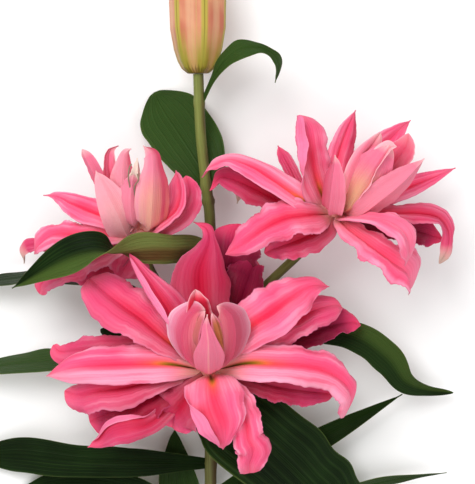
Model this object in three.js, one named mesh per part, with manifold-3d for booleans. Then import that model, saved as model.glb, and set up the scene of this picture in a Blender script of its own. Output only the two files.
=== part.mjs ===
// A cut lily lying on its side: one stalk with side shoots, long leaves, open double blooms and a bud.
// Millimetres. X goes to the right, Y along the stalk to the bud, Z up from the surface it lies on.
import * as THREE from "three";
import { mergeVertices } from "three/addons/utils/BufferGeometryUtils.js";
import Module from "manifold-3d";

const wasm = await Module();
wasm.setup();

// Driving sizes
const PETAL_THICK = 0.9;
const LEAF_THICK = 0.8;
const GAP = 0.32;
const STALK_RADIUS_LOW = 4.1;
const STALK_RADIUS_HIGH = 3.3;
const SHOOT_RADIUS = 2.8;
const RECEPTACLE_RADIUS = 6;
const HEART_SEAT_RADIUS = 3.6;
const HEART_LIFT = 8;
const ROOT_REACH = 5;
const BUD_LENGTH = 96;
const FINEST = 0.01;
const TIP_HALF_WIDTH = 0.6;
// No edge rolls farther than this many degrees.
const CURL_LIMIT = 70;

// The stalk's centre line, from the cut end to the bud
const STALK = [
  [3, -212, 3.8],
  [2, -165, 6.5],
  [1, -110, 11],
  [1, -55, 17],
  [1, 20, 25],
  [1, 90, 30],
  [-2, 120, 32],
  [-5, 150, 34],
  [-6.5, 187, 36],
];

// The bud's radius at heights above its foot
const BUD_FOOT = [-6.5, 187.4, 36];
const BUD_TIP = [-7.5, 187.4 + BUD_LENGTH, 40];
const BUD_PROFILE = [
  [0, 7.6],
  [3, 11.2],
  [8, 13.6],
  [15, 15.6],
  [28, 17.5],
  [45, 17.8],
  [62, 16],
  [76, 12],
  [87, 7],
  [94, 3],
  [96, 1.2],
];
const BUD_RIBS = 6;
const BUD_RIB_HEIGHT = 0.7;
const BUD_RIB_TURN = 15;

// Each bloom: its middle, the way it opens, how far its petals lean up, the rows of corners along a petal,
// and its shoot from the stalk
const FRONT = {
  at: [1, 3, 72],
  axis: [0, 0.62, 0.78],
  lean: 1,
  rows: 8,
  shoot: [
    [1, -32, 19.5],
    [2, -23, 36],
    [1, -9, 56],
  ],
};
const LEFT = {
  at: [-42, 85, 52],
  axis: [-0.1, 0.84, 0.53],
  lean: 1.3,
  rows: 7,
  shoot: [
    [1, 10, 24],
    [-20, 36, 33],
    [-35, 60, 42],
  ],
};
const RIGHT = {
  at: [79, 99, 54],
  axis: [0.4, 0.66, 0.63],
  lean: 1.4,
  rows: 7,
  shoot: [
    [1, 14, 24.4],
    [27, 44, 35],
    [56, 72, 43],
  ],
};

// A petal's stations are x, y, z and its half-widths on the left and on the right. A turn in degrees about
// its own length and the curl of its left and right edge may follow.
const petal = (name, stations, shape = {}) => ({ name, stations, ...shape });

const FRONT_PETALS = [
  petal("top", [
    [-2, 34, 82, 16, 15],
    [-4, 50, 78, 19, 18, 0, -20, -30],
    [-4.5, 62, 73, 17.5, 18, 0, -30, -30],
    [-1, 74, 67, 9, 11, 0, -20, -20],
    [1, 82, 63, 5, 4],
    [-1, 89, 61, 3.2, 3.2],
    [-9, 93, 60, 0, 0],
  ], { wave: 1.2 }),
  petal("top_back", [
    [10, 36, 62, 11, 11],
    [13, 55, 52, 14, 15],
    [16, 72, 45, 15, 16],
    [18, 84, 41, 15, 16],
    [19, 92, 39, 9, 11],
  ], { columns: 3, wave: 3.2, waves: 3.5 }),
  petal("top_right", [
    [18, 38, 66, 11, 11],
    [24, 54, 58, 15, 10],
    [29, 66, 50, 11, 6],
    [34, 62, 44, 3, 3],
  ], { columns: 3, wave: 2.5 }),
  petal("upper_left_wide", [
    [-24, 20, 82, 10, 9],
    [-38, 32, 82, 16, 14],
    [-49, 40, 80, 17, 16, 0, -20, -20],
    [-60, 48, 76, 17, 15, 0, -30, -20],
    [-68, 54, 69, 13, 12],
    [-73, 58, 63, 7, 7],
  ], { wave: 2, tip: 0.12 }),
  petal("upper_left_inner", [
    [-15, 26, 90, 7, 10, 0, 60, 0],
    [-25, 42, 90, 12, 15, 0, 150, 0],
    [-35, 57, 87, 11, 11, 0, 160, 0],
    [-43, 68, 82, 6, 4, 0, 150, 0],
    [-48, 74, 78, 0, 0],
  ], { wave: 0.4, bulge: 0.08, hinge: 0.55, fold: 0.4 }),
  petal("left", [
    [-24, 6.5, 84, 11, 11],
    [-45, 6.5, 85, 12, 13],
    [-66, 5.5, 81, 12, 13, 0, -40, -10],
    [-82, 3.5, 74, 10, 11, 0, -50, -20],
    [-92, 0.5, 67, 5, 6],
    [-100, -2.5, 62, 0, 0],
  ], { wave: 1, cup: -0.1 }),
  petal("left_back", [
    [-30, 13, 70, 9, 9],
    [-55, 14, 66, 10, 10],
    [-80, 13, 58, 9, 8],
    [-92, 12, 53, 7, 4],
    [-97, 16, 50, 2.5, 2.5],
  ], { columns: 3, wave: 2.2, tip: 0.02 }),
  petal("lower_left_one", [
    [-28, -3, 79, 8, 8],
    [-50, -8, 78, 13, 9, 0, -30, 0],
    [-68, -11, 73, 14, 11, 0, -50, 0],
    [-80, -14, 65, 11, 9, 0, -40, 0],
    [-89, -12, 57, 3, 2],
  ], { wave: 2.4, waves: 3.5 }),
  petal("lower_left_two", [
    [-26, -10, 72, 10, 12],
    [-45, -19, 69, 16, 16],
    [-58, -24, 62, 16, 15],
    [-69, -29, 54, 11, 10],
    [-74, -32, 49, 4, 4],
  ], { columns: 3, wave: 2.6 }),
  petal("lower_left_curl", [
    [-14, -12, 66, 5, 5],
    [-25, -22, 70, 6, 5],
    [-35, -30, 77, 7, 7, 0, -20, 90],
    [-46, -33, 81, 8, 13, 0, -30, 150],
    [-57, -36, 78, 8, 12, 0, -30, 160],
    [-65, -42, 71, 4, 6, 0, -20, 140],
    [-74, -46, 66, 0, 0],
  ], { wave: 1.4, waves: 3.5, cup: 0, bulge: 0.08, hinge: 0.6, fold: 0.4 }),
  petal("lower_left_three", [
    [-9, -9, 78, 9, 9],
    [-16, -20, 75, 16, 16],
    [-21, -27, 68, 15, 15],
    [-22, -34, 62, 10, 9],
  ], { wave: 1.8 }),
  petal("low_near", [
    [3, -3, 90, 14, 15],
    [4.5, -11, 98, 18, 21, 0, -20, 60],
    [8, -20, 101, 17, 28, 0, -30, 150],
    [11, -29, 98, 14, 26, 0, -30, 160],
    [11, -38, 92, 5.5, 12, 0, 0, 150],
    [9.5, -45, 85, 0, 0],
  ], { wave: 1, cup: -0.05, bulge: 0.08, hinge: 0.58, fold: 0.35 }),
  petal("low_right", [
    [16, -14, 84, 10, 8],
    [23, -28, 87, 10, 9],
    [25, -38, 87, 9, 10, 0, -40, -40],
    [28, -46, 83, 12, 11, 0, -40, -40],
    [26, -54, 77, 9, 8],
    [25.5, -61, 71, 6, 6],
  ], { wave: 2.6, waves: 3.6, tip: 0.03 }),
  petal("right", [
    [24, 7, 84, 11, 11],
    [45, 6.5, 85, 12.5, 12],
    [62, 5, 83, 13, 11.5, 0, -20, -40],
    [76, 0, 77, 14, 11, 0, -30, -50],
    [86, -9, 69, 12, 12, 0, -40, -40],
    [87, -18, 61, 11, 12],
    [84, -28, 54, 6, 7],
  ], { wave: 1.8, waves: 3.4, cup: -0.1 }),
  petal("right_back", [
    [26, -4, 72, 8, 8],
    [46, -9, 68, 11, 10],
    [64, -12, 60, 11, 9],
    [78, -14, 54, 3, 3],
  ], { columns: 3, wave: 2.2 }),
  petal("upper_right_wide", [
    [24, 27, 82, 14, 14],
    [38, 37, 81, 17, 16],
    [51, 46, 77, 15, 14, 0, -20, -30],
    [63, 53, 70, 9, 8, 0, -20, -30],
    [75, 53, 62, 0, 0],
  ], { wave: 1.5 }),
  petal("upper_right_under", [
    [30, 20, 74, 10, 9],
    [48, 29, 70, 12, 12],
    [65, 38, 63, 12, 12, 0, -40, 0],
    [78, 41, 55, 8, 8],
    [84, 39, 49, 1, 1],
  ], { columns: 3, wave: 2.6 }),
  petal("upper_right_back", [
    [34, 15, 66, 9, 9],
    [56, 21, 58, 11, 10],
    [76, 28, 49, 10, 8],
    [90, 30, 42, 7, 6],
    [96, 28, 38, 2, 2],
  ], { columns: 3, wave: 3, waves: 3.6 }),
];

const FRONT_HEART = [
  petal("near", [
    [1, 1, 95, 7, 7],
    [1, 11, 108, 10, 9.5],
    [1, 22, 115, 8, 7.5],
    [0, 31, 117.4, 4.5, 4.5],
    [0.5, 38, 117, 0, 0],
  ], { wave: 0.3, cup: 0.45, groove: -0.7 }),
  petal("left", [
    [-7, 6, 90, 6, 6],
    [-13, 13, 98, 10.5, 9.5],
    [-15, 24, 105, 13, 11],
    [-12, 35, 108.5, 10.5, 8.5],
    [-8, 41, 108, 4, 5],
  ], { wave: 0.3, cup: 0.5, roll: 36, tip: 0.15 }),
  petal("right", [
    [9, 6, 90, 6, 6],
    [15, 13, 98, 9.5, 10.5],
    [17, 24, 105, 11, 13],
    [15, 36, 108.5, 8.5, 10.5],
    [10, 42, 108, 5, 4],
  ], { wave: 0.3, cup: 0.5, roll: -36, tip: 0.15 }),
  petal("back", [
    [-5, 24, 90, 10, 10],
    [-7, 38, 97, 9, 9],
    [-7.5, 47, 102, 7, 7],
    [-6, 52.5, 104, 2, 2],
  ], { columns: 3, wave: 0.4, cup: 0.5, roll: -12 }),
  petal("inner_left", [
    [-5, 16, 92, 8, 8],
    [-6, 28, 102, 8, 8],
    [-3, 37, 108, 6, 6],
    [-1, 41, 110, 1, 1],
  ], { columns: 3, wave: 0.3, cup: 0.5, roll: -60 }),
  petal("inner_right", [
    [8, 16, 90, 8, 8],
    [9, 28, 100, 8, 8],
    [6, 37, 106, 6, 6],
    [4, 41, 107, 1, 1],
  ], { columns: 3, wave: 0.3, cup: 0.5, roll: 60 }),
];

const LEFT_PETALS = [
  petal("upper_left", [
    [-60, 94, 58, 9, 9],
    [-74, 100, 56, 11, 10],
    [-86, 105, 51, 8, 8],
    [-95, 109, 46, 3, 3],
    [-104, 110, 42, 0, 0],
  ], { wave: 1.2 }),
  petal("left", [
    [-62, 85, 60, 8, 8],
    [-80, 85, 60, 9, 9, 0, -30, -20],
    [-96, 85, 56, 10, 9, 0, -50, -20],
    [-105, 79, 51, 8, 8],
    [-109, 73, 47, 1, 1],
  ], { wave: 2.2 }),
  petal("left_back", [
    [-70, 84, 44, 8, 8],
    [-92, 82, 40, 8, 8],
    [-108, 79, 34, 5, 6],
    [-116, 77, 30, 4, 5],
    [-118, 67, 26, 0, 0],
  ], { columns: 3, wave: 2.2 }),
  petal("lower_left", [
    [-60, 78, 56, 10, 10],
    [-80, 70, 55, 13, 12],
    [-96, 62, 51, 11, 11],
    [-104, 55, 47, 9, 9],
    [-106, 48, 43, 5, 5],
  ], { wave: 2.6, waves: 3.5 }),
  petal("low_left", [
    [-56, 76, 48, 10, 10],
    [-68, 70, 45, 13, 12],
    [-82, 63, 41, 10, 10],
    [-94, 58, 37, 0, 0],
  ], { columns: 3, wave: 2.5 }),
  petal("low", [
    [-46, 76, 52, 10, 10],
    [-50, 68, 49, 13, 13],
    [-54, 61, 44, 9, 9],
    [-56, 57, 40, 1, 1],
  ], { wave: 2 }),
  petal("right_back", [
    [-29, 90, 56, 10, 10],
    [-18, 98, 55, 14, 13],
    [-12, 110, 50, 11, 9],
    [-14, 122, 46, 2, 2],
  ], { columns: 3, wave: 0.8, cup: 0.2 }),
  petal("right", [
    [-29, 92, 64, 9, 9],
    [-20, 99, 66, 10, 9],
    [-17, 108, 64, 9, 7],
    [-18, 118, 60, 6, 5],
    [-20, 125, 56, 0, 0],
  ], { wave: 0.6, cup: 0.35 }),
  petal("far", [
    [-44, 98, 36, 9, 9],
    [-46, 108, 14, 11, 11],
    [-50, 115, 1, 11, 11],
    [-58, 119, -3, 9, 9],
    [-68, 120, -3, 4, 4],
  ], { columns: 3, wave: 0.6, cup: 0 }),
];

const LEFT_HEART = [
  petal("near_left", [
    [-50, 86, 66, 9, 8],
    [-55, 97, 74, 10.5, 9.5],
    [-60, 108, 79, 9, 8],
    [-65, 118, 81, 4.5, 4],
    [-67, 124, 81, 0, 0],
  ], { wave: 0.3, cup: 0.4, roll: 35 }),
  petal("left_back", [
    [-57, 96, 62, 6, 6],
    [-64, 110, 66, 6, 6],
    [-71, 125, 70, 4.2, 4.2],
    [-77, 138, 72, 0, 0],
  ], { columns: 3, wave: 0.3, cup: 0.4, roll: 62 }),
  petal("tall_left", [
    [-55, 105, 62, 6, 6],
    [-60, 120, 68, 5.5, 5.5],
    [-60, 131, 72, 4, 4],
    [-56, 140, 74, 0, 0],
  ], { columns: 3, wave: 0.3, cup: 0.5, roll: -42 }),
  petal("tall_middle", [
    [-50, 102, 68, 8, 8],
    [-52, 117, 75, 8, 8],
    [-51, 129, 78, 5, 5],
    [-49, 138, 79, 0, 0],
  ], { columns: 3, wave: 0.3, cup: 0.5, roll: 50 }),
  petal("near_right", [
    [-36, 89, 68, 9, 8],
    [-34, 102, 78, 11, 10.5],
    [-33, 116, 83, 9.5, 9],
    [-33, 127, 84, 6, 5.5],
    [-34, 134, 84, 4.5, 4.5],
    [-39, 139, 83, 0, 0],
  ], { wave: 0.3, cup: 0.55, roll: -33 }),
  petal("middle", [
    [-46, 92, 68, 8, 8],
    [-47, 105, 75, 8, 8],
    [-46, 117, 77, 5, 5],
    [-45, 122, 77, 0, 0],
  ], { columns: 3, wave: 0.3, cup: 0.5, roll: 23 }),
  petal("pale", [
    [-42, 108, 70, 4.5, 4.5],
    [-43, 121, 74, 4.5, 4.5],
    [-43, 132, 76, 0, 0],
  ], { columns: 3, wave: 0.3, cup: 0.5 }),
];

const RIGHT_PETALS = [
  petal("far_left", [
    [58, 106, 74, 9, 9],
    [42, 117, 75, 10, 10],
    [28, 126, 70, 9, 9, 0, -20, -20],
    [14, 131, 62, 7, 7, 0, -30, -20],
    [3, 128, 54, 5, 5],
    [-4, 121, 48, 1, 1],
  ], { wave: 1.2 }),
  petal("far_left_under", [
    [56, 101, 62, 9, 9],
    [38, 109, 60, 10, 10],
    [22, 117, 53, 10, 9],
    [9, 121, 46, 6, 6],
    [1, 113, 42, 1, 1],
  ], { wave: 2.2 }),
  petal("left_tip", [
    [46, 108, 48, 5, 5],
    [30, 113, 40, 5, 5],
    [21, 111, 36, 4, 4],
    [18, 105, 34, 0, 0],
  ], { columns: 3, wave: 1 }),
  petal("lower_left", [
    [63, 98, 77, 9, 9],
    [48, 96, 83, 11, 12],
    [35, 89, 84, 11, 12, 0, -50, -20],
    [22, 80, 80, 9, 9, 0, -60, -30],
    [11, 73, 75, 1, 1],
  ], { wave: 2.4, waves: 3.5 }),
  petal("lower_left_under", [
    [70, 89, 68, 10, 10],
    [58, 83, 70, 12, 11],
    [45, 78, 67, 9, 9],
    [35, 74, 61, 2, 2],
  ], { wave: 2.4 }),
  petal("lower_right", [
    [87, 88, 72, 9, 9],
    [100, 78, 78, 12, 12, 0, -20, -30],
    [112, 69, 78, 13, 12, 0, -30, -30],
    [121, 61, 72, 13, 12, 0, -20, -20],
    [124.5, 51, 63, 5, 5],
  ], { wave: 2.6, waves: 3.6 }),
  petal("right_flap", [
    [92, 95, 80, 8, 8],
    [107, 94, 90, 9, 10],
    [117, 88, 93, 12, 12, 0, -20, -30],
    [121, 77, 90, 10, 10, 0, -30, -30],
    [120, 66, 84, 0, 0],
  ], { wave: 1.2 }),
  petal("right_long", [
    [94, 98, 66, 8, 8],
    [112, 98, 67, 8, 8],
    [130, 98, 64, 8, 7, 5],
    [143, 95.5, 58, 7, 6, 25],
    [149.5, 87, 51, 5, 5, 55],
    [150, 76, 45, 5.5, 5, 65],
    [146, 67, 41, 3.5, 3.5, 70],
  ], { wave: 1.8, waves: 3.6 }),
  petal("right_shade", [
    [100, 92, 52, 8, 8],
    [120, 90, 48, 10, 10],
    [136, 86, 42, 9, 9],
    [148, 82, 38, 2, 2],
  ], { columns: 3, wave: 2.2 }),
  petal("right_upper", [
    [100, 106, 58, 6, 6],
    [118, 112, 57, 8, 8],
    [136, 119, 52, 5.5, 5.5],
    [155, 127, 47, 0, 0],
  ], { wave: 0.5, cup: 0.3 }),
  petal("back_left", [
    [69, 114, 64, 11, 11],
    [65, 128, 63, 18, 13, 0, 100, 0],
    [63, 142, 58, 21, 13, 0, 150, 0],
    [61, 153, 53, 15, 13, 0, 150, 0],
    [57, 160, 49, 3, 3],
  ], { wave: 0.8, bulge: 0.08, hinge: 0.55, fold: 0.4 }),
  petal("back_left_small", [
    [60, 112, 50, 6, 6],
    [52, 126, 40, 6, 6],
    [47, 136, 32, 4, 4],
    [44, 142, 28, 0, 0],
  ], { columns: 3, wave: 0.8 }),
  petal("back", [
    [79, 122, 52, 8, 8],
    [82, 136, 48, 8, 8],
    [87, 150, 42, 6, 6],
    [93, 164, 36, 0, 0],
  ], { columns: 3, wave: 0.5, cup: 0.3 }),
  petal("back_right", [
    [92, 118, 60, 8, 8],
    [106, 136, 56, 10, 10],
    [118, 149, 50, 5, 5],
    [127, 157, 46, 0, 0],
  ], { wave: 0.5, cup: 0.3 }),
  petal("far", [
    [82, 110, 38, 9, 9],
    [88, 121, 15, 11, 11],
    [94, 129, 1, 11, 11],
    [102, 134, -3, 9, 9],
    [112, 136, -3, 4, 4],
  ], { columns: 3, wave: 0.6, cup: 0 }),
];

const RIGHT_HEART = [
  petal("far_right", [
    [98, 114, 68, 8, 8],
    [112, 126, 71, 10, 10],
    [121, 138, 73, 8, 8],
    [123, 147, 75, 2, 2],
  ], { columns: 3, wave: 0.8, cup: 0.3, roll: 36 }),
  petal("right", [
    [91, 97, 77, 8, 8],
    [106, 107, 85, 10, 10],
    [119, 118, 89, 8, 8],
    [131, 131, 91, 0, 0],
  ], { wave: 0.4, cup: 0.45, roll: -30 }),
  petal("near", [
    [75, 98, 74, 7, 7],
    [75, 108, 84, 8.5, 8],
    [76, 119, 90, 7, 7],
    [77, 127, 92, 3.5, 3.5],
    [77, 133, 92, 0, 0],
  ], { wave: 0.3, cup: 0.35, roll: 10 }),
  petal("left", [
    [84, 106, 74, 8, 8],
    [89, 120, 79, 10, 10],
    [96, 134, 82, 9, 9],
    [105, 147, 83, 2, 2],
  ], { wave: 0.5, cup: 0.3, roll: -143 }),
  petal("middle", [
    [86, 101, 76, 9, 9],
    [94, 114, 86, 13, 13],
    [102, 127, 91, 11, 11],
    [110, 139, 91, 4, 4],
  ], { columns: 3, wave: 0.6, cup: 0.45, roll: -23 }),
  petal("curl", [
    [95, 112, 78, 5.5, 5.5],
    [104, 128, 86, 5.5, 5.5],
    [110, 137, 90, 4.5, 4.5],
    [114, 138, 93, 1, 1],
  ], { columns: 3, wave: 0.8, cup: 0.9, roll: 89 }),
];

// A leaf's stations may end with a turn in degrees about its own length; face is where its upper side looks.
const LEAVES = [
  {
    name: "leaf_upper_wide",
    stations: [
      [-2, 114, 30, 4, 4],
      [-2, 124, 29, 14, 13],
      [-9, 138, 25, 20, 20],
      [-18, 152, 18, 22, 21],
      [-27, 165, 10, 21, 20],
      [-36, 178, 2, 12, 12],
    ],
    face: [0, 0, 1],
    columns: 5,
    wave: 0.2,
    tip: 0.3,
  },
  {
    name: "leaf_upper_small",
    stations: [
      [-4, 169, 36, 1.6, 1.6],
      [3, 183, 41, 2, 2],
      [10, 194, 46, 4.5, 4.5],
      [20, 202, 49, 6, 7],
      [32, 202, 49, 6, 6],
      [41, 198, 46, 7, 6],
      [45, 190, 43, 5, 5],
      [43, 181, 41, 0, 0],
    ],
    face: [-0.5, 0.5, 0.8],
    wave: 0.5,
  },
  {
    name: "leaf_across_left_bloom",
    stations: [
      [1, 78, 30, 4, 4, 0],
      [-8, 77, 46, 8, 8, -5],
      [-22, 76, 68, 9, 9, -8],
      [-38, 76, 78, 10, 10, -25],
      [-56, 74, 82, 12, 12, -90],
      [-70, 75, 82, 14, 13, -145],
      [-90, 69, 76, 11, 10, -175],
      [-121, 52, 64, 0, 0, -185],
    ],
    face: [0, 0, -1],
    columns: 5,
    wave: 0.4,
    cup: 0.35,
  },
  {
    name: "leaf_left_high",
    stations: [
      [1, 20, 25, 3, 3],
      [-50, 48, 24, 10, 10],
      [-95, 58, 22, 12, 12],
      [-130, 56, 16, 11, 11],
      [-158, 50, 10, 3, 3],
    ],
    face: [0, 0.5, 1],
    roll: 45,
    wave: 0.8,
  },
  {
    name: "leaf_left_middle",
    stations: [
      [1, 2, 23, 3, 3],
      [-50, 8, 26, 11, 10],
      [-95, 5, 22, 13, 12],
      [-130, 1, 16, 12, 11],
      [-160, -5, 8, 3, 3],
    ],
    face: [0, 0.5, 1],
    roll: 35,
    wave: 0.8,
  },
  {
    name: "leaf_left_low",
    stations: [
      [1, -62, 16, 3, 3],
      [-14, -61, 22, 5, 5],
      [-45, -60, 28, 9, 9],
      [-85, -59.5, 22, 10.5, 10.5],
      [-125, -57, 10, 11, 11],
      [-162, -60, -1, 1, 1],
    ],
    face: [0, 0, 1],
    wave: 0.8,
  },
  {
    name: "leaf_left_lowest",
    stations: [
      [1.5, -112, 11, 3, 3],
      [-30, -90, 16, 9, 9],
      [-60, -79, 15, 12, 12],
      [-95, -77, 8, 10, 10],
      [-132, -86, -1, 1, 1],
    ],
    face: [0, 0, 1],
    wave: 0.8,
  },
  {
    name: "leaf_upright",
    stations: [
      [2, -150, 7.5, 3, 3],
      [-14, -110, 9, 11, 11],
      [-20, -75, 12, 13, 13],
      [-22, -50, 16, 5, 5],
      [-22, -39, 18, 0, 0],
    ],
    face: [0, 0, 1],
    wave: 0.8,
  },
  {
    name: "leaf_right_wide",
    stations: [
      [1, -2, 22, 4, 4],
      [5, -18, 38, 17, 18],
      [17, -29, 47, 25, 29],
      [32, -40, 52, 27, 33],
      [58, -66, 44, 29, 29],
      [85, -98, 24, 24, 22],
      [102, -130, -1, 2, 2],
    ],
    face: [0, 0, 1],
    columns: 5,
    wave: 1.2,
  },
  {
    name: "leaf_right_high",
    stations: [
      [1, 26, 25, 3, 3],
      [50, 27, 28, 9, 9],
      [90, 21, 32, 10, 9],
      [112, 7, 32, 11, 10],
      [125, -9, 26, 7, 7],
      [140, -15, 16, 3.5, 3.5],
      [158, -17, 10, 1.5, 1.5],
    ],
    face: [0, 0.3, 1],
    wave: 0.8,
  },
  {
    name: "leaf_right_narrow",
    stations: [
      [1, -84, 14, 3, 3],
      [40, -64, 18, 8, 8],
      [78, -43, 20, 7, 7],
      [124, -17, 22, 0, 0],
    ],
    face: [0, 0.5, 0.5],
    roll: 30,
    cup: 0.6,
    wave: 0.4,
  },
  {
    name: "leaf_right_low",
    stations: [
      [2, -132, 9, 3, 3],
      [50, -94, 12, 8, 8],
      [108, -75, 12, 6, 6],
      [154, -69, 8, 0, 0],
    ],
    face: [0, 0, 1],
    roll: 50,
    wave: 0.4,
  },
  {
    name: "leaf_under",
    stations: [
      [2, -158, 7, 3, 3],
      [20, -118, 6, 11, 11],
      [30, -85, 10, 13, 13],
      [34, -62, 12, 0, 0],
    ],
    face: [0, 0, 1],
    wave: 0.6,
  },
  {
    name: "leaf_small_hook",
    stations: [
      [1, 12, 24, 1.6, 1.6],
      [-40, 20, 36, 3, 3],
      [-58, 24, 36, 3, 3],
      [-68, 23, 32, 2.2, 2.2],
      [-62, 18, 28, 0, 0],
    ],
    face: [0, 0, 1],
    wave: 0.2,
  },
];

// Rows of numbers joined by a smooth curve and read off again at even steps along it
function smooth(rows, count) {
  const first = rows[0].map((v, k) => 2 * v - rows[1][k]);
  const last = rows.at(-1).map((v, k) => 2 * v - rows.at(-2)[k]);
  const p = [first, ...rows, last];
  const steps = 24;
  const fine = [];
  for (let i = 1; i < p.length - 2; i++) {
    for (let j = 0; j < steps; j++) {
      const t = j / steps;
      fine.push(p[i].map((b, k) => {
        const a = p[i - 1][k];
        const c = p[i + 1][k];
        const d = p[i + 2][k];
        const square = 2 * a - 5 * b + 4 * c - d;
        const cube = 3 * b - a - 3 * c + d;
        return 0.5 * (2 * b + (c - a) * t + square * t * t + cube * t * t * t);
      }));
    }
  }
  fine.push([...rows.at(-1)]);
  const run = [0];
  for (let i = 1; i < fine.length; i++) {
    const step = Math.hypot(...[0, 1, 2].map((k) => fine[i][k] - fine[i - 1][k]));
    run.push(run[i - 1] + step);
  }
  const out = [];
  let seat = 0;
  for (let i = 0; i < count; i++) {
    const at = (run.at(-1) * i) / (count - 1);
    while (seat < run.length - 2 && run[seat + 1] < at) seat++;
    const share = Math.min(1, (at - run[seat]) / (run[seat + 1] - run[seat]));
    out.push(fine[seat].map((v, k) => v + (fine[seat + 1][k] - v) * share));
  }
  return out;
}

const vector = (row) => new THREE.Vector3(row[0], row[1], row[2]);

// Directions along a line, and normals carried along it without twist
function carry(line, face) {
  const along = line.map((_, i) => {
    const a = line[Math.max(0, i - 1)];
    const b = line[Math.min(line.length - 1, i + 1)];
    return b.clone().sub(a).normalize();
  });
  const normals = [face.clone().projectOnPlane(along[0]).normalize()];
  for (let i = 1; i < line.length; i++) {
    const turn = new THREE.Quaternion().setFromUnitVectors(along[i - 1], along[i]);
    const next = normals[i - 1].clone().applyQuaternion(turn);
    normals.push(next.projectOnPlane(along[i]).normalize());
  }
  return { along, normals };
}

const clamp01 = (v) => Math.min(1, Math.max(0, v));

// How far out and up a point lies on a flank that is flat to its hinge, bends there and ends in a flap
function rollEdge(v, half, hinge, fold, curl) {
  const bend = THREE.MathUtils.degToRad(THREE.MathUtils.clamp(curl, -CURL_LIMIT, CURL_LIMIT)) || 1e-3;
  const beyond = clamp01((Math.abs(v) - hinge) / (1 - hinge));
  const bent = bend * Math.min(beyond / fold, 1);
  const arc = (half * (1 - hinge) * fold) / bend;
  const flap = half * (1 - hinge) * Math.max(beyond - fold, 0);
  return {
    out: Math.min(Math.abs(v), hinge) * half + arc * Math.sin(bent) + flap * Math.cos(bend),
    lift: arc * (1 - Math.cos(bent)) + flap * Math.sin(bend),
  };
}

// A closed blade with the same triangles on both faces; extra widens it all round for a clearance cut.
function blade(stations, face, shape, extra = 0) {
  const { roll = 0, cup = 0.1, bulge = 0.18, groove = 1.1, wave = 2, waves = 3, phase = 0 } = shape;
  const { rows = 8, columns = 5, thick = PETAL_THICK, tip = 0.06, hinge = 0.4, fold = 1 } = shape;
  const swing = Math.min(0.06, 0.03 * wave);
  const data = smooth(stations.map((s) => [...s, 0, 0, 0].slice(0, 8)), rows);
  const line = data.map(vector);
  const { along, normals } = carry(line, face);
  const middle = [];
  for (let i = 0; i < rows; i++) {
    const u = i / (rows - 1);
    const turned = normals[i].clone().applyAxisAngle(along[i], THREE.MathUtils.degToRad(roll + data[i][5]));
    const across = along[i].clone().cross(turned);
    const past = clamp01((u - (1 - tip)) / tip);
    const ends = Math.sqrt(1 - past * past) * 0.95 + 0.05;
    const flow = clamp01((u - 0.12) / 0.3) * clamp01((1 - u) / 0.1);
    const ring = [];
    for (let j = 0; j < columns; j++) {
      const v = -1 + (2 * j) / (columns - 1);
      const half = Math.max((v < 0 ? data[i][3] : data[i][4]) * ends, TIP_HALF_WIDTH);
      const side = v < 0 ? 0.37 : 0;
      const beat = waves * u + 0.35 * Math.sin(5.1 * u + 9 * phase + 4 * side);
      const ripple = Math.sin(2 * Math.PI * (beat + phase + side)) * wave * Math.abs(v) ** 2.2 * flow;
      const valley = groove * Math.exp(-((v / 0.14) ** 2)) * clamp01(1.1 - u);
      const lift = half * (cup * v * v + bulge * Math.sin(Math.PI * Math.abs(v))) - valley + ripple;
      const edge = half * (1 + swing * Math.sin(2 * Math.PI * (beat * 1.9 + phase)) * flow);
      const rolled = rollEdge(v, edge, hinge, fold, data[i][v < 0 ? 6 : 7]);
      const out = Math.sign(v) * rolled.out + v * extra;
      ring.push(line[i].clone().addScaledVector(across, out).addScaledVector(turned, lift + rolled.lift));
    }
    middle.push({ ring, turned, slide: i === 0 ? -extra : i === rows - 1 ? extra : 0 });
  }
  const top = [];
  const bottom = [];
  const half = thick / 2 + extra;
  for (let i = 0; i < rows; i++) {
    for (let j = 0; j < columns; j++) {
      const du = middle[Math.min(rows - 1, i + 1)].ring[j].clone().sub(middle[Math.max(0, i - 1)].ring[j]);
      const dv = middle[i].ring[Math.min(columns - 1, j + 1)].clone().sub(middle[i].ring[Math.max(0, j - 1)]);
      const normal = du.cross(dv).normalize();
      if (normal.dot(middle[i].turned) < 0) normal.negate();
      const centre = middle[i].ring[j].clone().addScaledVector(along[i], middle[i].slide);
      top.push(centre.clone().addScaledVector(normal, half));
      bottom.push(centre.addScaledVector(normal, -half));
    }
  }
  const floor = extra > 0 ? -extra : 0;
  for (const p of bottom) p.z = Math.max(p.z, floor);
  for (const p of top) p.z = Math.max(p.z, floor);
  for (let k = 0; k < top.length; k++) {
    const low = top[k].z < bottom[k].z ? top[k] : bottom[k];
    const high = low === top[k] ? bottom[k] : top[k];
    high.z = Math.max(high.z, Math.min(low.z, 0.01) + (low.z <= 0 ? 2 * half * 0.9 : 0));
  }
  const corners = [...top, ...bottom];
  const seat = (i, j) => i * columns + j;
  const under = rows * columns;
  const faces = [];
  for (let i = 0; i < rows - 1; i++) {
    for (let j = 0; j < columns - 1; j++) {
      const a = seat(i, j);
      const b = seat(i + 1, j);
      const c = seat(i + 1, j + 1);
      const d = seat(i, j + 1);
      faces.push([a, b, c], [a, c, d]);
      faces.push([under + a, under + c, under + b], [under + a, under + d, under + c]);
    }
    for (const j of [0, columns - 1]) {
      const a = seat(i, j);
      const b = seat(i + 1, j);
      const wall = [[a, under + a, under + b], [a, under + b, b]];
      faces.push(...(j === 0 ? wall : wall.map((f) => f.toReversed())));
    }
  }
  for (const i of [0, rows - 1]) {
    for (let j = 0; j < columns - 1; j++) {
      const a = seat(i, j);
      const b = seat(i, j + 1);
      const wall = [[a, b, under + b], [a, under + b, under + a]];
      faces.push(...(i === 0 ? wall : wall.map((f) => f.toReversed())));
    }
  }
  return solid(corners, faces);
}

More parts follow.
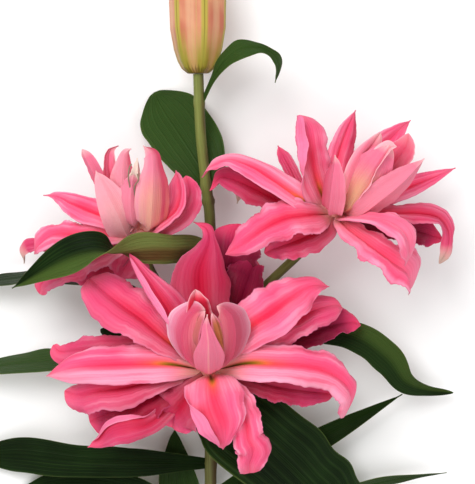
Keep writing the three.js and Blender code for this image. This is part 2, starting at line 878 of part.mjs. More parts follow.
// A solid from corner points and triangles, turned to face out
function solid(corners, faces) {
  const positions = new Float32Array(faces.flatMap((f) => f.flatMap((k) => corners[k].toArray())));
  const loose = new THREE.BufferGeometry();
  loose.setAttribute("position", new THREE.BufferAttribute(positions, 3));
  const merged = mergeVertices(loose, 1e-4);
  const index = [...merged.index.array];
  const build = (triVerts) => new wasm.Manifold(new wasm.Mesh({
    numProp: 3,
    vertProperties: merged.getAttribute("position").array,
    triVerts: new Uint32Array(triVerts),
  }));
  const made = build(index);
  return made.volume() > 0 ? made : build(index.toReversed());
}

// A round rod along a smooth line, with flat ends and a flat underside where it meets the surface
function rod(stations, radiusAt, count, sides, extra = 0) {
  const line = smooth(stations, count).map(vector);
  const { along, normals } = carry(line, new THREE.Vector3(0, 0, 1));
  const corners = [];
  for (let i = 0; i < count; i++) {
    const binormal = along[i].clone().cross(normals[i]);
    const slide = i === 0 ? -extra : i === count - 1 ? extra : 0;
    for (let k = 0; k < sides; k++) {
      const angle = (2 * Math.PI * (k + 0.5)) / sides;
      const radius = radiusAt(i / (count - 1), angle) + extra;
      const p = line[i].clone().addScaledVector(along[i], slide);
      p.addScaledVector(normals[i], radius * Math.cos(angle));
      p.addScaledVector(binormal, radius * Math.sin(angle));
      p.z = Math.max(p.z, 0);
      corners.push(p);
    }
  }
  const faces = [];
  for (let i = 0; i < count - 1; i++) {
    for (let k = 0; k < sides; k++) {
      const a = i * sides + k;
      const b = i * sides + ((k + 1) % sides);
      faces.push([a, b, b + sides], [a, b + sides, a + sides]);
    }
  }
  const end = (count - 1) * sides;
  for (let k = 1; k < sides - 1; k++) {
    faces.push([0, k + 1, k]);
    faces.push([end, end + k, end + k + 1]);
  }
  return solid(corners, faces);
}

// The swollen seat that the petals grow from
function receptacle(at, axis, radius, long) {
  const geometry = new THREE.SphereGeometry(radius, 10, 6);
  geometry.deleteAttribute("uv");
  geometry.deleteAttribute("normal");
  geometry.scale(1, long, 1);
  geometry.applyQuaternion(new THREE.Quaternion().setFromUnitVectors(new THREE.Vector3(0, 1, 0), axis));
  geometry.translate(at.x, at.y, at.z);
  const merged = mergeVertices(geometry, 1e-4);
  const p = merged.getAttribute("position");
  const corners = Array.from({ length: p.count }, (_, i) => new THREE.Vector3().fromBufferAttribute(p, i));
  const faces = [];
  for (let i = 0; i < merged.index.count; i += 3) {
    faces.push([0, 1, 2].map((k) => merged.index.getX(i + k)));
  }
  return solid(corners, faces);
}

// Petals fused on their seat; the heart's petals stand on a seat of their own farther along the axis
function whorl(bloom, petals, heart, extra = 0) {
  const axis = vector(bloom.axis).normalize();
  const at = vector(bloom.at).addScaledVector(axis, heart ? HEART_LIFT : 0);
  const radius = heart ? HEART_SEAT_RADIUS : RECEPTACLE_RADIUS;
  const pieces = [receptacle(at, axis, radius + extra, heart ? 1.05 : 0.95)];
  petals.forEach((p, i) => {
    const outward = vector(p.stations[0]).sub(at).projectOnPlane(axis);
    const reach = Math.min(heart ? 2 : ROOT_REACH, outward.length() * 0.4);
    outward.normalize();
    const root = at.clone().addScaledVector(outward, reach);
    const face = axis.clone().sub(outward);
    if (!heart) face.z += bloom.lean;
    const width = p.stations[0].slice(3, 5).map((w) => w * 0.3);
    const rows = (heart ? 6 : bloom.rows) - (p.columns ? 1 : 0) + (p.name === "far" ? 3 : 0);
    const shape = { phase: i * 0.381, rows, ...p };
    pieces.push(blade([[root.x, root.y, root.z, ...width], ...p.stations], face, shape, extra));
  });
  return wasm.Manifold.union(pieces);
}

// The largest body of a solid, without the scraps that a cut leaves
function largest(piece) {
  const bodies = piece.decompose();
  bodies.sort((a, b) => b.volume() - a.volume());
  return bodies[0].simplify(FINEST);
}

const stalkRadius = (u) => STALK_RADIUS_LOW + (STALK_RADIUS_HIGH - STALK_RADIUS_LOW) * u;

function stalk(extra = 0) {
  const pieces = [rod(STALK, stalkRadius, 15, 10, extra)];
  for (const bloom of [FRONT, LEFT, RIGHT]) {
    const axis = vector(bloom.axis).normalize();
    const seat = vector(bloom.at).addScaledVector(axis, -RECEPTACLE_RADIUS * 0.95 - GAP);
    const before = seat.clone().addScaledVector(axis, -7);
    const line = [...bloom.shoot, before.toArray(), seat.toArray()];
    pieces.push(rod(line, () => SHOOT_RADIUS, 8, 8, extra));
  }
  return wasm.Manifold.union(pieces);
}

function budRadius(u, angle) {
  const height = u * BUD_LENGTH;
  const k = Math.max(1, BUD_PROFILE.findIndex((row) => row[0] >= height - 1e-6));
  const [h0, r0] = BUD_PROFILE[k - 1];
  const [h1, r1] = BUD_PROFILE[k];
  const radius = r0 + ((r1 - r0) * (height - h0)) / (h1 - h0);
  const rib = Math.cos(BUD_RIBS * (angle - THREE.MathUtils.degToRad(BUD_RIB_TURN)));
  return radius + BUD_RIB_HEIGHT * rib * Math.min(1, radius / 12);
}

const budLine = [BUD_FOOT, BUD_FOOT.map((v, k) => (v + BUD_TIP[k]) / 2), BUD_TIP];
const bud = (extra = 0) => rod(budLine, budRadius, 13, 18, extra);

// Every piece after the first is cut clear of the pieces before it that its box meets.
const placed = [];

function meets(a, b) {
  const p = a.boundingBox();
  const q = b.boundingBox();
  return [0, 1, 2].every((k) => p.min[k] < q.max[k] && q.min[k] < p.max[k]);
}

function place(name, make, slot) {
  let piece = make(0);
  for (const other of placed) {
    if (meets(piece, other.wide)) piece = piece.subtract(other.wide);
  }
  placed.push({ name, slot, piece: largest(piece), wide: make(GAP) });
}

const leafShape = { bulge: 0.04, groove: 0.5, thick: LEAF_THICK, rows: 10, columns: 3 };

place("stalk", stalk, "stalk");
place("bud", bud, "bud");
place("bloom_front_petals", (extra) => whorl(FRONT, FRONT_PETALS, false, extra), "petals");
place("bloom_front_heart", (extra) => whorl(FRONT, FRONT_HEART, true, extra), "heart");
place("bloom_right_petals", (extra) => whorl(RIGHT, RIGHT_PETALS, false, extra), "petals");
place("bloom_right_heart", (extra) => whorl(RIGHT, RIGHT_HEART, true, extra), "heart");
place("bloom_left_petals", (extra) => whorl(LEFT, LEFT_PETALS, false, extra), "petals");
place("bloom_left_heart", (extra) => whorl(LEFT, LEFT_HEART, true, extra), "heart");
LEAVES.forEach((leaf, i) => {
  const shape = { ...leafShape, phase: i * 0.27, ...leaf };
  place(leaf.name, (extra) => blade(leaf.stations, vector(leaf.face), shape, extra), "leaf");
});

const COLOURS = {
  stalk: new THREE.MeshStandardMaterial({ color: 0x6e7d3c, roughness: 0.6, metalness: 0 }),
  bud: new THREE.MeshStandardMaterial({ color: 0xd7a07d, roughness: 0.5, metalness: 0 }),
  petals: new THREE.MeshStandardMaterial({ color: 0xf2648c, roughness: 0.5, metalness: 0 }),
  heart: new THREE.MeshStandardMaterial({ color: 0xf0a0af, roughness: 0.5, metalness: 0 }),
  leaf: new THREE.MeshStandardMaterial({ color: 0x2a5420, roughness: 0.5, metalness: 0 }),
};

const group = new THREE.Group();
for (const { name, slot, piece } of placed) {
  const { vertProperties, triVerts } = piece.getMesh();
  const geometry = new THREE.BufferGeometry();
  geometry.setAttribute("position", new THREE.BufferAttribute(vertProperties, 3));
  geometry.setIndex(new THREE.BufferAttribute(triVerts, 1));
  const mesh = new THREE.Mesh(geometry, COLOURS[slot]);
  mesh.name = name;
  group.add(mesh);
}

// The frame's origin is under the middle of the whole, on the surface it lies on.
const box = new THREE.Box3().setFromObject(group);
for (const mesh of group.children) {
  mesh.geometry.translate(-(box.min.x + box.max.x) / 2, -(box.min.y + box.max.y) / 2, -box.min.z);
}

export default group;
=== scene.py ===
import math

import bpy
import numpy as np
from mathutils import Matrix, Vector


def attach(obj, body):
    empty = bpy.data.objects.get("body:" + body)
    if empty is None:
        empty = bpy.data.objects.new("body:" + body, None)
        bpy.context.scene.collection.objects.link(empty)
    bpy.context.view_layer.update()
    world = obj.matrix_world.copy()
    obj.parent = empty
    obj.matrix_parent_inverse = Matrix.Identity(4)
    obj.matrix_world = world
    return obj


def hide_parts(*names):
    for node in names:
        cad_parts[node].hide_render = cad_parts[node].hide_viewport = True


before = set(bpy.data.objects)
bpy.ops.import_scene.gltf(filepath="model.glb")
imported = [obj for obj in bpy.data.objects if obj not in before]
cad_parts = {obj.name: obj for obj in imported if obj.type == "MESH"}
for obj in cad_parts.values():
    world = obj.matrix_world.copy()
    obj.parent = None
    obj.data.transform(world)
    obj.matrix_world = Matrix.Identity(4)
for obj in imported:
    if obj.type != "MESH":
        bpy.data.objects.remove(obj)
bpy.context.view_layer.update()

# Sizes and stations below are millimetres; this moves them to the part's origin.
SHIFT = np.array([1.9829, -35.6059, 0])
MM = 0.001

PETAL_THICK = 0.9
LEAF_THICK = 0.8
LEAST_HALF_WIDTH = 0.35
GAP = 0.32
# Nothing is lower than LOWEST, and a blade below FLAT_BELOW lies on the floor.
LOWEST = 0.02
FLAT_BELOW = 0.03

STALK_RADIUS_LOW = 4.1
STALK_RADIUS_HIGH = 3.3
STALK_RIB = 0.08
JOINT_SWELL, JOINT_REACH, JOINT_LIMIT = 0.45, 3.2, 0.6
SCAR_SWELL, SCAR_REACH = 0.9, 2
SHOOT_RADIUS = 2.8
SHOOT_FLARE = 0.5
SHOOT_RIB = 0.05
SHOOT_STRAIGHT = 7
THREAD_RADIUS = 0.45

BUD_LENGTH = 95.99
BUD_RIBS = 6
BUD_RIB_HEIGHT = 0.7
BUD_RIB_TURN = 15
BUD_RIB_FADE = 12

# Rows along each surface, and points across or round it
CURVE_STEPS = 24
PETAL_GRID = (96, 21)
LEAF_GRID = (110, 21)
STALK_GRID = (260, 40)
SHOOT_GRID = (60, 28)
BUD_GRID = (120, 108)
THREAD_GRID = (24, 10)
KNOB_GRID = (24, 32)
SHARP_ANGLE = 50

# The stalk's centre line, from the cut end to the bud
STALK = [
    (3, -211.96, 3.8), (2, -165, 6.5), (1, -110, 11), (1, -55, 17), (1, 20, 25),
    (1, 90, 30), (-2, 120, 32), (-5, 150, 34), (-6.5, 187, 36),
]
# Where leaves and shoots leave the stalk, as heights along Y
STALK_JOINTS = (-158, -150, -132, -112, -84, -62, -32, -2, 2, 11, 20, 26, 78, 116, 169)
OLD_SCAR = 106.5

BUD_FOOT = (-6.5, 187.4, 36)
BUD_TIP = (-7.5, 187.4 + BUD_LENGTH, 40)
# Height along the bud and its radius there
BUD_PROFILE = [
    (0, 6.6), (3, 10.2), (8, 12.8), (15, 15), (28, 17.3), (45, 17.8),
    (62, 16), (76, 12), (87, 7), (94, 3), (96, 1.2),
]

# A bloom: its seat, the way it looks, how far its outer petals turn up to the camera, and its shoot's route
FRONT = dict(
    at=(1, 3, 72), axis=(0, 0.62, 0.78), lean=1,
    shoot=[(1, -32, 19.5), (2, -23, 36), (1, -9, 56)])
LEFT = dict(
    at=(-42, 85, 52), axis=(-0.1, 0.84, 0.53), lean=1.3,
    shoot=[(1, 10, 24), (-20, 36, 33), (-35, 60, 42)])
RIGHT = dict(
    at=(79, 99, 54), axis=(0.4, 0.66, 0.63), lean=1.4,
    shoot=[(1, 14, 24.4), (27, 44, 35), (56, 72, 43)])

# Outer and heart petals: how far their seat is lifted along the axis, its radius and length, how far out they
# root, and how creased and ragged they are unless a petal says otherwise
OUTER = dict(lift=0, seat=6, long=0.95, reach=5, shape=dict(pleat=0.3, ragged=0.008))
HEART = dict(lift=8, seat=3.6, long=1.05, reach=2, shape=dict(pleat=0.16, ragged=0))

# A petal's foot, as shares of its first station's half-widths and distance from the axis
FOOT_WIDTH, FOOT_REACH = 0.3, 0.4
# Steps that set one blade's waves and noise apart from the next one's
PETAL_PHASE_STEP, PETAL_SEED_STEP = 0.381, 0.618
LEAF_PHASE_STEP, LEAF_SEED_STEP = 0.27, 0.377

# A petal: its shape and look, and its stations from foot to tip. A station is x, y, z, one half-width or a
# left and a right one and, where needed, its turn and the curl of its left and right edge in degrees.
# Shape: wave, waves, frill and ragged ripple the edges, pleat creases the face, cup and bulge hollow it,
# groove sinks its middle, roll turns it, tip is its rounded share, and edges curl from hinge on, within fold.
# Look: tone runs from -1.5, dark, to 1, pale: painted shade on dark petals, painted light on pale ones, and
# partly their own tone. The rest are shares: gold is the olive foot, flank a side painted lighter as if lit,
# spine a pale line on the back, bands a hood's, with painted shade on the right hood, flush deep red, lean a
# side in painted shade and its other side painted lighter. Below 0 is the other side.
LOOKS = ("tone", "red", "gold", "stripes", "spine", "lit_flank", "amber", "beige", "bands", "flush", "lean")
ROLLED = dict(cup=0.1, bulge=0.08, hinge=0.55, fold=0.4, frill=0.05)

FRONT_PETALS = dict(
    top=(dict(wave=1.2, tone=-0.75, red=1, lean=0.5), [(-2, 34, 82, 16, 15),
        (-4, 50, 78, 19, 18, 0, -20, -30), (-4.5, 62, 73, 17.5, 18, 0, -30, -30),
        (-1, 74, 67, 9, 11, 0, -20, -20), (1, 82, 63, 5, 4), (-1, 89, 61, 3.2), (-9, 93, 60, 0)]),
    top_back=(dict(wave=3.2, waves=3.5, tone=-1.5, ragged=0.02), [(10, 36, 62, 11), (13, 55, 52, 14, 15),
        (16, 72, 45, 15, 16), (18, 84, 41, 15, 16), (19, 92, 39, 9, 11)]),
    top_right=(dict(wave=2.5, tone=-1.5, ragged=0.02), [(18, 38, 66, 11), (24, 54, 58, 15, 10),
        (29, 66, 50, 11, 6), (34, 62, 44, 3)]),
    upper_left_wide=(dict(wave=2, tip=0.12, red=0.8, gold=0.9, tone=-0.35, ragged=0.02), [
        (-24, 20, 82, 10, 9), (-38, 32, 82, 16, 14), (-49, 40, 80, 17, 16, 0, -20, -20),
        (-60, 48, 76, 17, 15, 0, -30, -20), (-68, 54, 69, 13, 12), (-73, 58, 63, 7)]),
    upper_left_inner=(dict(ROLLED, wave=0.4, red=1, gold=1, tone=-0.5), [(-15, 26, 90, 7, 10, 0, 60),
        (-25, 42, 90, 12, 12, 0, 150), (-35, 57, 87, 11, 6.5, 0, 160), (-43, 68, 82, 6, 2.5, 0, 150),
        (-48, 74, 78, 0)]),
    left=(dict(wave=1, cup=-0.1, red=0.9, gold=1, lit_flank=-1), [(-24, 6.5, 84, 11),
        (-45, 6.5, 85, 12, 13), (-66, 5.5, 81, 12, 13, 0, -40, -10), (-82, 3.5, 74, 10, 11, 0, -50, -20),
        (-92, 0.5, 67, 5, 6), (-100, -2.5, 62, 0)]),
    left_back=(dict(wave=2.2, tip=0.02, tone=-0.5, ragged=0.02), [(-30, 13, 70, 9), (-55, 14, 66, 10),
        (-80, 13, 58, 9, 8), (-92, 12, 53, 7, 4), (-97, 16, 50, 2.5)]),
    lower_left_one=(dict(wave=2.4, waves=3.5, red=0.9, tone=-0.45, ragged=0.02), [(-28, -3, 79, 8),
        (-50, -8, 78, 13, 9, 0, -30), (-68, -11, 73, 14, 11, 0, -50), (-80, -14, 65, 11, 9, 0, -40),
        (-89, -12, 57, 3, 2)]),
    lower_left_two=(dict(wave=2.6, tone=-0.9, red=0.5, ragged=0.02), [(-26, -10, 72, 10, 12),
        (-45, -19, 69, 16), (-58, -24, 62, 16, 15), (-69, -29, 54, 11, 10), (-74, -32, 49, 4)]),
    lower_left_curl=(dict(ROLLED, wave=1.4, waves=3.5, cup=0, red=0.6, tone=-0.6, hinge=0.6, frill=0.1), [
        (-14, -12, 66, 5), (-25, -22, 70, 6, 5), (-35, -30, 77, 7, 7, 0, -20, 90),
        (-46, -33, 81, 8, 13, 0, -30, 150), (-57, -36, 78, 8, 12, 0, -30, 160),
        (-65, -42, 71, 4, 6, 0, -20, 140), (-74, -46, 66, 0)]),
    lower_left_three=(dict(wave=1.8, tone=-0.7, red=0.8), [(-9, -9, 78, 9), (-16, -20, 75, 16),
        (-21, -27, 68, 15), (-22, -34, 62, 10, 9)]),
    low_near=(dict(ROLLED, wave=1, cup=-0.05, red=1, gold=0.9, hinge=0.58, fold=0.35), [
        (3, -3, 90, 14, 15), (4.5, -11, 98, 18, 21, 0, -20, 60), (8, -20, 101, 17, 28, 0, -30, 150),
        (11, -29, 98, 14, 26, 0, -30, 160), (11, -38, 92, 5.5, 12, 0, 0, 150), (9.5, -45, 85, 0)]),
    low_right=(dict(wave=2.6, waves=3.6, tip=0.03, red=0.6, tone=-0.1, ragged=0.02), [
        (16, -14, 84, 10, 8), (23, -28, 87, 10, 9), (25, -38, 87, 9, 10, 0, -40, -40),
        (28, -46, 83, 12, 11, 0, -40, -40), (26, -54, 77, 9, 8), (25.5, -61, 71, 6)]),
    right=(dict(wave=1.8, waves=3.4, cup=-0.1, red=0.75, gold=1, lit_flank=0.7, ragged=0.02), [
        (24, 7, 84, 11), (45, 6.5, 85, 12.5, 12), (62, 5, 83, 13, 11.5, 0, -20, -40),
        (76, 0, 77, 14, 11, 0, -30, -50), (86, -9, 69, 12, 12, 0, -40, -40), (87, -18, 61, 11, 12),
        (84, -28, 54, 6, 7)]),
    right_back=(dict(wave=2.2, tone=-0.8, ragged=0.02), [(26, -4, 72, 8), (46, -9, 68, 11, 10),
        (64, -12, 60, 11, 9), (78, -14, 54, 3)]),
    upper_right_wide=(dict(wave=1.5, red=1, gold=0.9), [(24, 27, 82, 14), (38, 37, 81, 17, 16),
        (51, 46, 77, 15, 14, 0, -20, -30), (63, 53, 70, 9, 8, 0, -20, -30), (75, 53, 62, 0)]),
    upper_right_under=(dict(wave=2.6, red=0.9, tone=-0.3, ragged=0.02), [(30, 20, 74, 10, 9),
        (48, 29, 70, 12), (65, 38, 63, 12, 12, 0, -40), (78, 41, 55, 8), (84, 39, 49, 1)]),
    upper_right_back=(dict(wave=3, waves=3.6, tone=-1.4, ragged=0.02), [(34, 15, 66, 9),
        (56, 21, 58, 11, 10), (76, 28, 49, 10, 8), (90, 30, 42, 7, 6), (96, 28, 38, 2)]),
)

FRONT_HEART = dict(
    near=(dict(wave=0.3, cup=0.45, groove=-0.7, frill=0, tone=-0.15, spine=0.4), [(1, 1, 95, 7),
        (1, 11, 108, 9.5, 8.8), (1, 22, 114.8, 5.2, 5), (0, 31, 116.8, 2.4), (0.5, 38, 116.4, 0)]),
    left=(dict(wave=0.3, cup=0.5, roll=36, frill=0, tip=0.1, bands=-1), [(-7, 6, 90, 6),
        (-13, 13, 98, 10.5), (-15, 24, 105, 13, 13.5), (-12.5, 34, 108.5, 10.5, 12),
        (-7, 40, 108, 5.5, 8), (-1, 40.5, 107, 2, 4)]),
    right=(dict(wave=0.3, cup=0.5, roll=-36, frill=0, tip=0.1, tone=-0.2, bands=1), [(9, 6, 90, 6),
        (15, 13, 98, 10.5), (17, 24, 105, 13), (15.5, 35, 108.5, 11, 12), (10.5, 41, 108, 6.5, 7),
        (6, 42.5, 107, 3, 2.5)]),
    back=(dict(wave=0.4, cup=0.5, roll=-12, tip=0.16, tone=-0.2, red=1, flush=0.9), [(-5, 24, 90, 10),
        (-7, 38, 97, 9), (-7.5, 46, 102, 7.5), (-6.8, 52.3, 103.5, 4.5)]),
    inner_left=(dict(wave=0.2, cup=0.3, frill=0, amber=0.55, tone=-0.1), [(-8, 18, 98, 6),
        (-7, 28, 106.5, 4.5), (-4, 36, 111, 3.5), (-1, 40, 112.5, 1)]),
    inner_right=(dict(wave=0.2, cup=0.3, frill=0, amber=1, tone=-0.1), [(9, 12, 98, 5.5),
        (8.3, 22, 106, 4.2), (6.2, 31, 111, 3.5), (3.2, 38.5, 113, 1)]),
)

LEFT_PETALS = dict(
    upper_left=(dict(wave=1.2, red=1), [(-60, 94, 58, 9), (-74, 100, 56, 11, 10), (-86, 105, 51, 8),
        (-95, 109, 46, 3), (-104, 110, 42, 0)]),
    left=(dict(wave=2.2, red=0.7, ragged=0.02), [(-62, 85, 60, 8), (-80, 85, 60, 9, 9, 0, -30, -20),
        (-96, 85, 56, 10, 9, 0, -50, -20), (-105, 79, 51, 8), (-109, 73, 47, 1)]),
    left_back=(dict(wave=2.2, tone=-0.6, ragged=0.02, olive_tip=0.8), [(-70, 84, 44, 8),
        (-92, 82, 40, 8), (-108, 79, 34, 5, 6), (-116, 77, 30, 4, 5), (-118, 67, 26, 0)]),
    lower_left=(dict(wave=2.6, waves=3.5, tone=-0.4, ragged=0.02), [(-60, 78, 56, 10),
        (-80, 70, 55, 13, 12), (-96, 62, 51, 11), (-104, 55, 47, 9), (-106, 48, 43, 5)]),
    low_left=(dict(wave=2.5, tone=-0.8), [(-56, 76, 48, 10), (-68, 70, 45, 13, 12), (-82, 63, 41, 10),
        (-94, 58, 37, 0)]),
    low=(dict(wave=2, tone=-0.5), [(-46, 76, 52, 10), (-50, 68, 49, 13), (-54, 61, 44, 9),
        (-56, 57, 40, 1)]),
    right_back=(dict(wave=0.8, cup=0.2, tone=-0.5), [(-29, 90, 56, 10), (-18, 98, 55, 14, 13),
        (-12, 110, 50, 11, 9), (-14, 122, 46, 2)]),
    right=(dict(wave=0.6, cup=0.35, red=0.9, tone=-0.2), [(-29, 92, 64, 9), (-20, 99, 66, 10, 9),
        (-17, 108, 64, 9, 7), (-18, 118, 60, 6, 5), (-20, 125, 56, 0)]),
    far=(dict(wave=0.6, cup=0), [(-44, 98, 36, 9), (-46, 108, 14, 11), (-50, 115, 1, 11),
        (-58, 119, -3, 9), (-68, 120, -3, 4)]),
)

LEFT_HEART = dict(
    near_left=(dict(wave=0.3, cup=0.4, roll=35, frill=0, tone=0.8, beige=0.15, lean=0.1), [
        (-48, 84, 58, 6), (-51, 87, 66, 11, 10), (-55, 97, 74, 11, 10), (-60, 108, 79, 9, 8),
        (-65, 118, 81, 4.5, 4), (-68, 124, 81, 0)]),
    left_back=(dict(wave=0.3, cup=0.4, roll=62, tone=0.1), [(-57, 96, 62, 6), (-64, 110, 66, 6),
        (-71, 125, 70, 5), (-75, 133, 72, 4), (-77, 137.5, 72.5, 1.5)]),
    tall_left=(dict(wave=0.3, cup=0.5, roll=-42, lean=-0.8), [(-55, 105, 62, 6), (-60, 120, 68, 5.5),
        (-61, 131, 72, 4), (-59.5, 137, 74, 2.5), (-54.5, 139.5, 75, 0)]),
    tall_middle=(dict(wave=0.3, cup=0.5, roll=50, tone=0.5, lean=-0.8), [(-50, 102, 68, 8),
        (-52, 117, 75, 8.5), (-51.5, 128, 78, 5), (-50, 135, 79, 2.5), (-46.5, 137.5, 79.5, 0)]),
    near_right=(dict(wave=0.3, cup=0.55, roll=-33, stripes=0.4, frill=0, tone=0.3, beige=0.45, lean=-1), [
        (-36, 89, 68, 9, 8), (-34, 102, 78, 11, 10.5), (-33, 116, 83, 9.5, 9), (-33, 127, 84, 6, 5.5),
        (-34, 134, 84, 4.5), (-39, 139, 83, 0)]),
    middle=(dict(wave=0.3, cup=0.5, roll=23, tone=0.3), [(-46, 92, 68, 8), (-47, 105, 75, 8),
        (-46, 117, 77, 5), (-45, 122, 77, 0)]),
    pale=(dict(wave=0.3, cup=0.5, tone=1, snow=0.75), [(-42, 108, 70, 4.5), (-43, 121, 74, 4.5),
        (-43, 132, 76, 0)]),
)

# Two withered threads among the left bloom's heart petals
LEFT_THREADS = [
    [(-45, 104, 70), (-48, 118, 79), (-47.5, 125.5, 82), (-46, 128, 82.5)],
    [(-44, 104, 70), (-44.5, 114, 79), (-42, 118, 81.5), (-42.5, 122, 82)],
]

RIGHT_PETALS = dict(
    far_left=(dict(wave=1.2, red=1, gold=1, lit_flank=1), [(58, 106, 74, 9), (42, 117, 75, 10),
        (28, 126, 70, 9, 9, 0, -20, -20), (14, 131, 62, 7, 7, 0, -30, -20), (3, 128, 54, 5),
        (-4, 121, 48, 1)]),
    far_left_under=(dict(wave=2.2, tone=-0.8, red=1, ragged=0.02), [(56, 101, 62, 9),
        (38, 109, 60, 10), (22, 117, 53, 10, 9), (9, 121, 46, 6), (1, 113, 42, 1)]),
    left_tip=(dict(wave=1, tone=-0.8, olive_tip=0.9), [(46, 108, 48, 5), (30, 113, 40, 5),
        (21, 111, 36, 4), (18, 105, 34, 0)]),
    lower_left=(dict(wave=2.4, waves=3.5, red=0.9, tone=-0.2, ragged=0.02), [(63, 97, 77, 13, 9),
        (48, 95, 83, 13, 12), (35, 89, 84, 11, 12, 0, -50, -20), (22, 80, 80, 9, 9, 0, -60, -30),
        (11, 73, 75, 1)]),
    lower_left_under=(dict(wave=1.8, tone=-0.6, red=0.8), [(70, 89, 68, 10), (58, 83, 70, 12, 11),
        (45, 78, 67, 9), (35, 74, 61, 2)]),
    lower_right=(dict(wave=2.6, waves=3.6, tip=0.04, red=0.7, tone=0.15, ragged=0.02), [(87, 88, 72, 9),
        (100, 78, 78, 12, 12, 0, -20, -30), (112, 69, 78, 15, 12, 0, -30, -30),
        (121.5, 61.5, 72, 21, 12, 0, 0, -20), (124.5, 50.5, 63, 8, 6)]),
    right_flap=(dict(wave=1.2, red=0.3, tone=0.3), [(92, 95, 80, 9), (107, 93, 90, 10, 11),
        (117, 87, 93, 14, 12, 0, -20, -30), (121, 77, 90, 12, 10, 0, -30, -30), (120, 66, 84, 0)]),
    right_long=(dict(wave=2.2, waves=3.6, red=0.9, tone=-0.45, olive_tip=0.8, ragged=0.02), [
        (94, 98, 66, 8), (112, 98, 67, 8), (130, 98, 64, 8, 7, 5), (143, 95.5, 58, 6.5, 6, 25),
        (150, 87, 51, 4.2, 4.5, 55), (150, 76, 45, 4, 4.5, 65), (145.5, 67, 41, 1.8, 1.8, 70)]),
    right_shade=(dict(wave=2.2, tone=-1.5, ragged=0.02), [(100, 92, 52, 8), (120, 90, 48, 10),
        (136, 86, 42, 9), (148, 82, 38, 2)]),
    right_upper=(dict(wave=0.5, cup=0.3, red=0.8), [(100, 106, 58, 6), (118, 112, 57, 8),
        (136, 119, 52, 5.5), (155, 127, 47, 0)]),
    back_left=(dict(ROLLED, wave=0.8, red=1, gold=0.8, tone=-0.15), [(69, 114, 64, 16, 11),
        (65, 128, 63, 21, 13, 0, 100), (63, 142, 58, 21, 13, 0, 150), (61, 153, 53, 15, 13, 0, 150),
        (57, 160, 49, 3)]),
    back_left_small=(dict(wave=0.8, tone=-0.5), [(59, 113, 50, 3.5), (52, 126, 40, 4.5),
        (47, 136, 32, 3.6), (44, 142, 28, 0)]),
    back=(dict(wave=0.5, cup=0.3, red=0.6, lean=0.8), [(79, 122, 52, 8), (82, 136, 48, 8),
        (87, 150, 42, 6), (93, 164, 36, 0)]),
    back_right=(dict(wave=0.5, cup=0.3, red=0.6, tone=-0.1), [(92, 118, 60, 8), (106, 136, 56, 10),
        (118, 149, 50, 5), (127, 157, 46, 0)]),
    far=(dict(wave=0.6, cup=0), [(82, 110, 38, 9), (88, 121, 15, 11), (94, 129, 1, 11),
        (102, 134, -3, 9), (112, 136, -3, 4)]),
)

RIGHT_HEART = dict(
    far_right=(dict(wave=0.8, cup=0.3, roll=36, tone=-0.6, ragged=0.02), [(98, 114, 68, 8),
        (112, 126, 71, 10), (121, 138, 73, 8), (123, 147, 75, 2)]),
    right=(dict(wave=0.4, cup=0.45, roll=-30, tone=0.3), [(91, 97, 77, 8), (106, 107, 85, 10),
        (119, 118, 89, 8), (131, 131, 91, 0)]),
    near=(dict(wave=0.3, cup=0.35, roll=10, frill=0, tone=-0.2, lean=0.6), [(75, 98, 74, 7),
        (75, 108, 84, 8.5, 8), (76, 119, 90, 7), (77, 127, 92, 3.5), (77, 133, 92, 0)]),
    left=(dict(wave=0.5, cup=0.3, roll=-143, tone=0.3), [(84, 106, 74, 8), (89, 120, 79, 10),
        (96, 134, 82, 9), (105, 147, 83, 2)]),
    middle=(dict(wave=0.6, cup=0.45, roll=-23, tone=0.1, stripes=0.5, beige=0.75), [(86, 101, 76, 9),
        (94, 114, 86, 13), (102, 127, 91, 11), (110, 139, 91, 4)]),
    curl=(dict(wave=0.8, cup=0.9, roll=89, tone=0.8), [(95, 112, 78, 5.5), (104, 128, 86, 5.5),
        (110, 137, 90, 4.5), (114, 138, 93, 1)]),
)
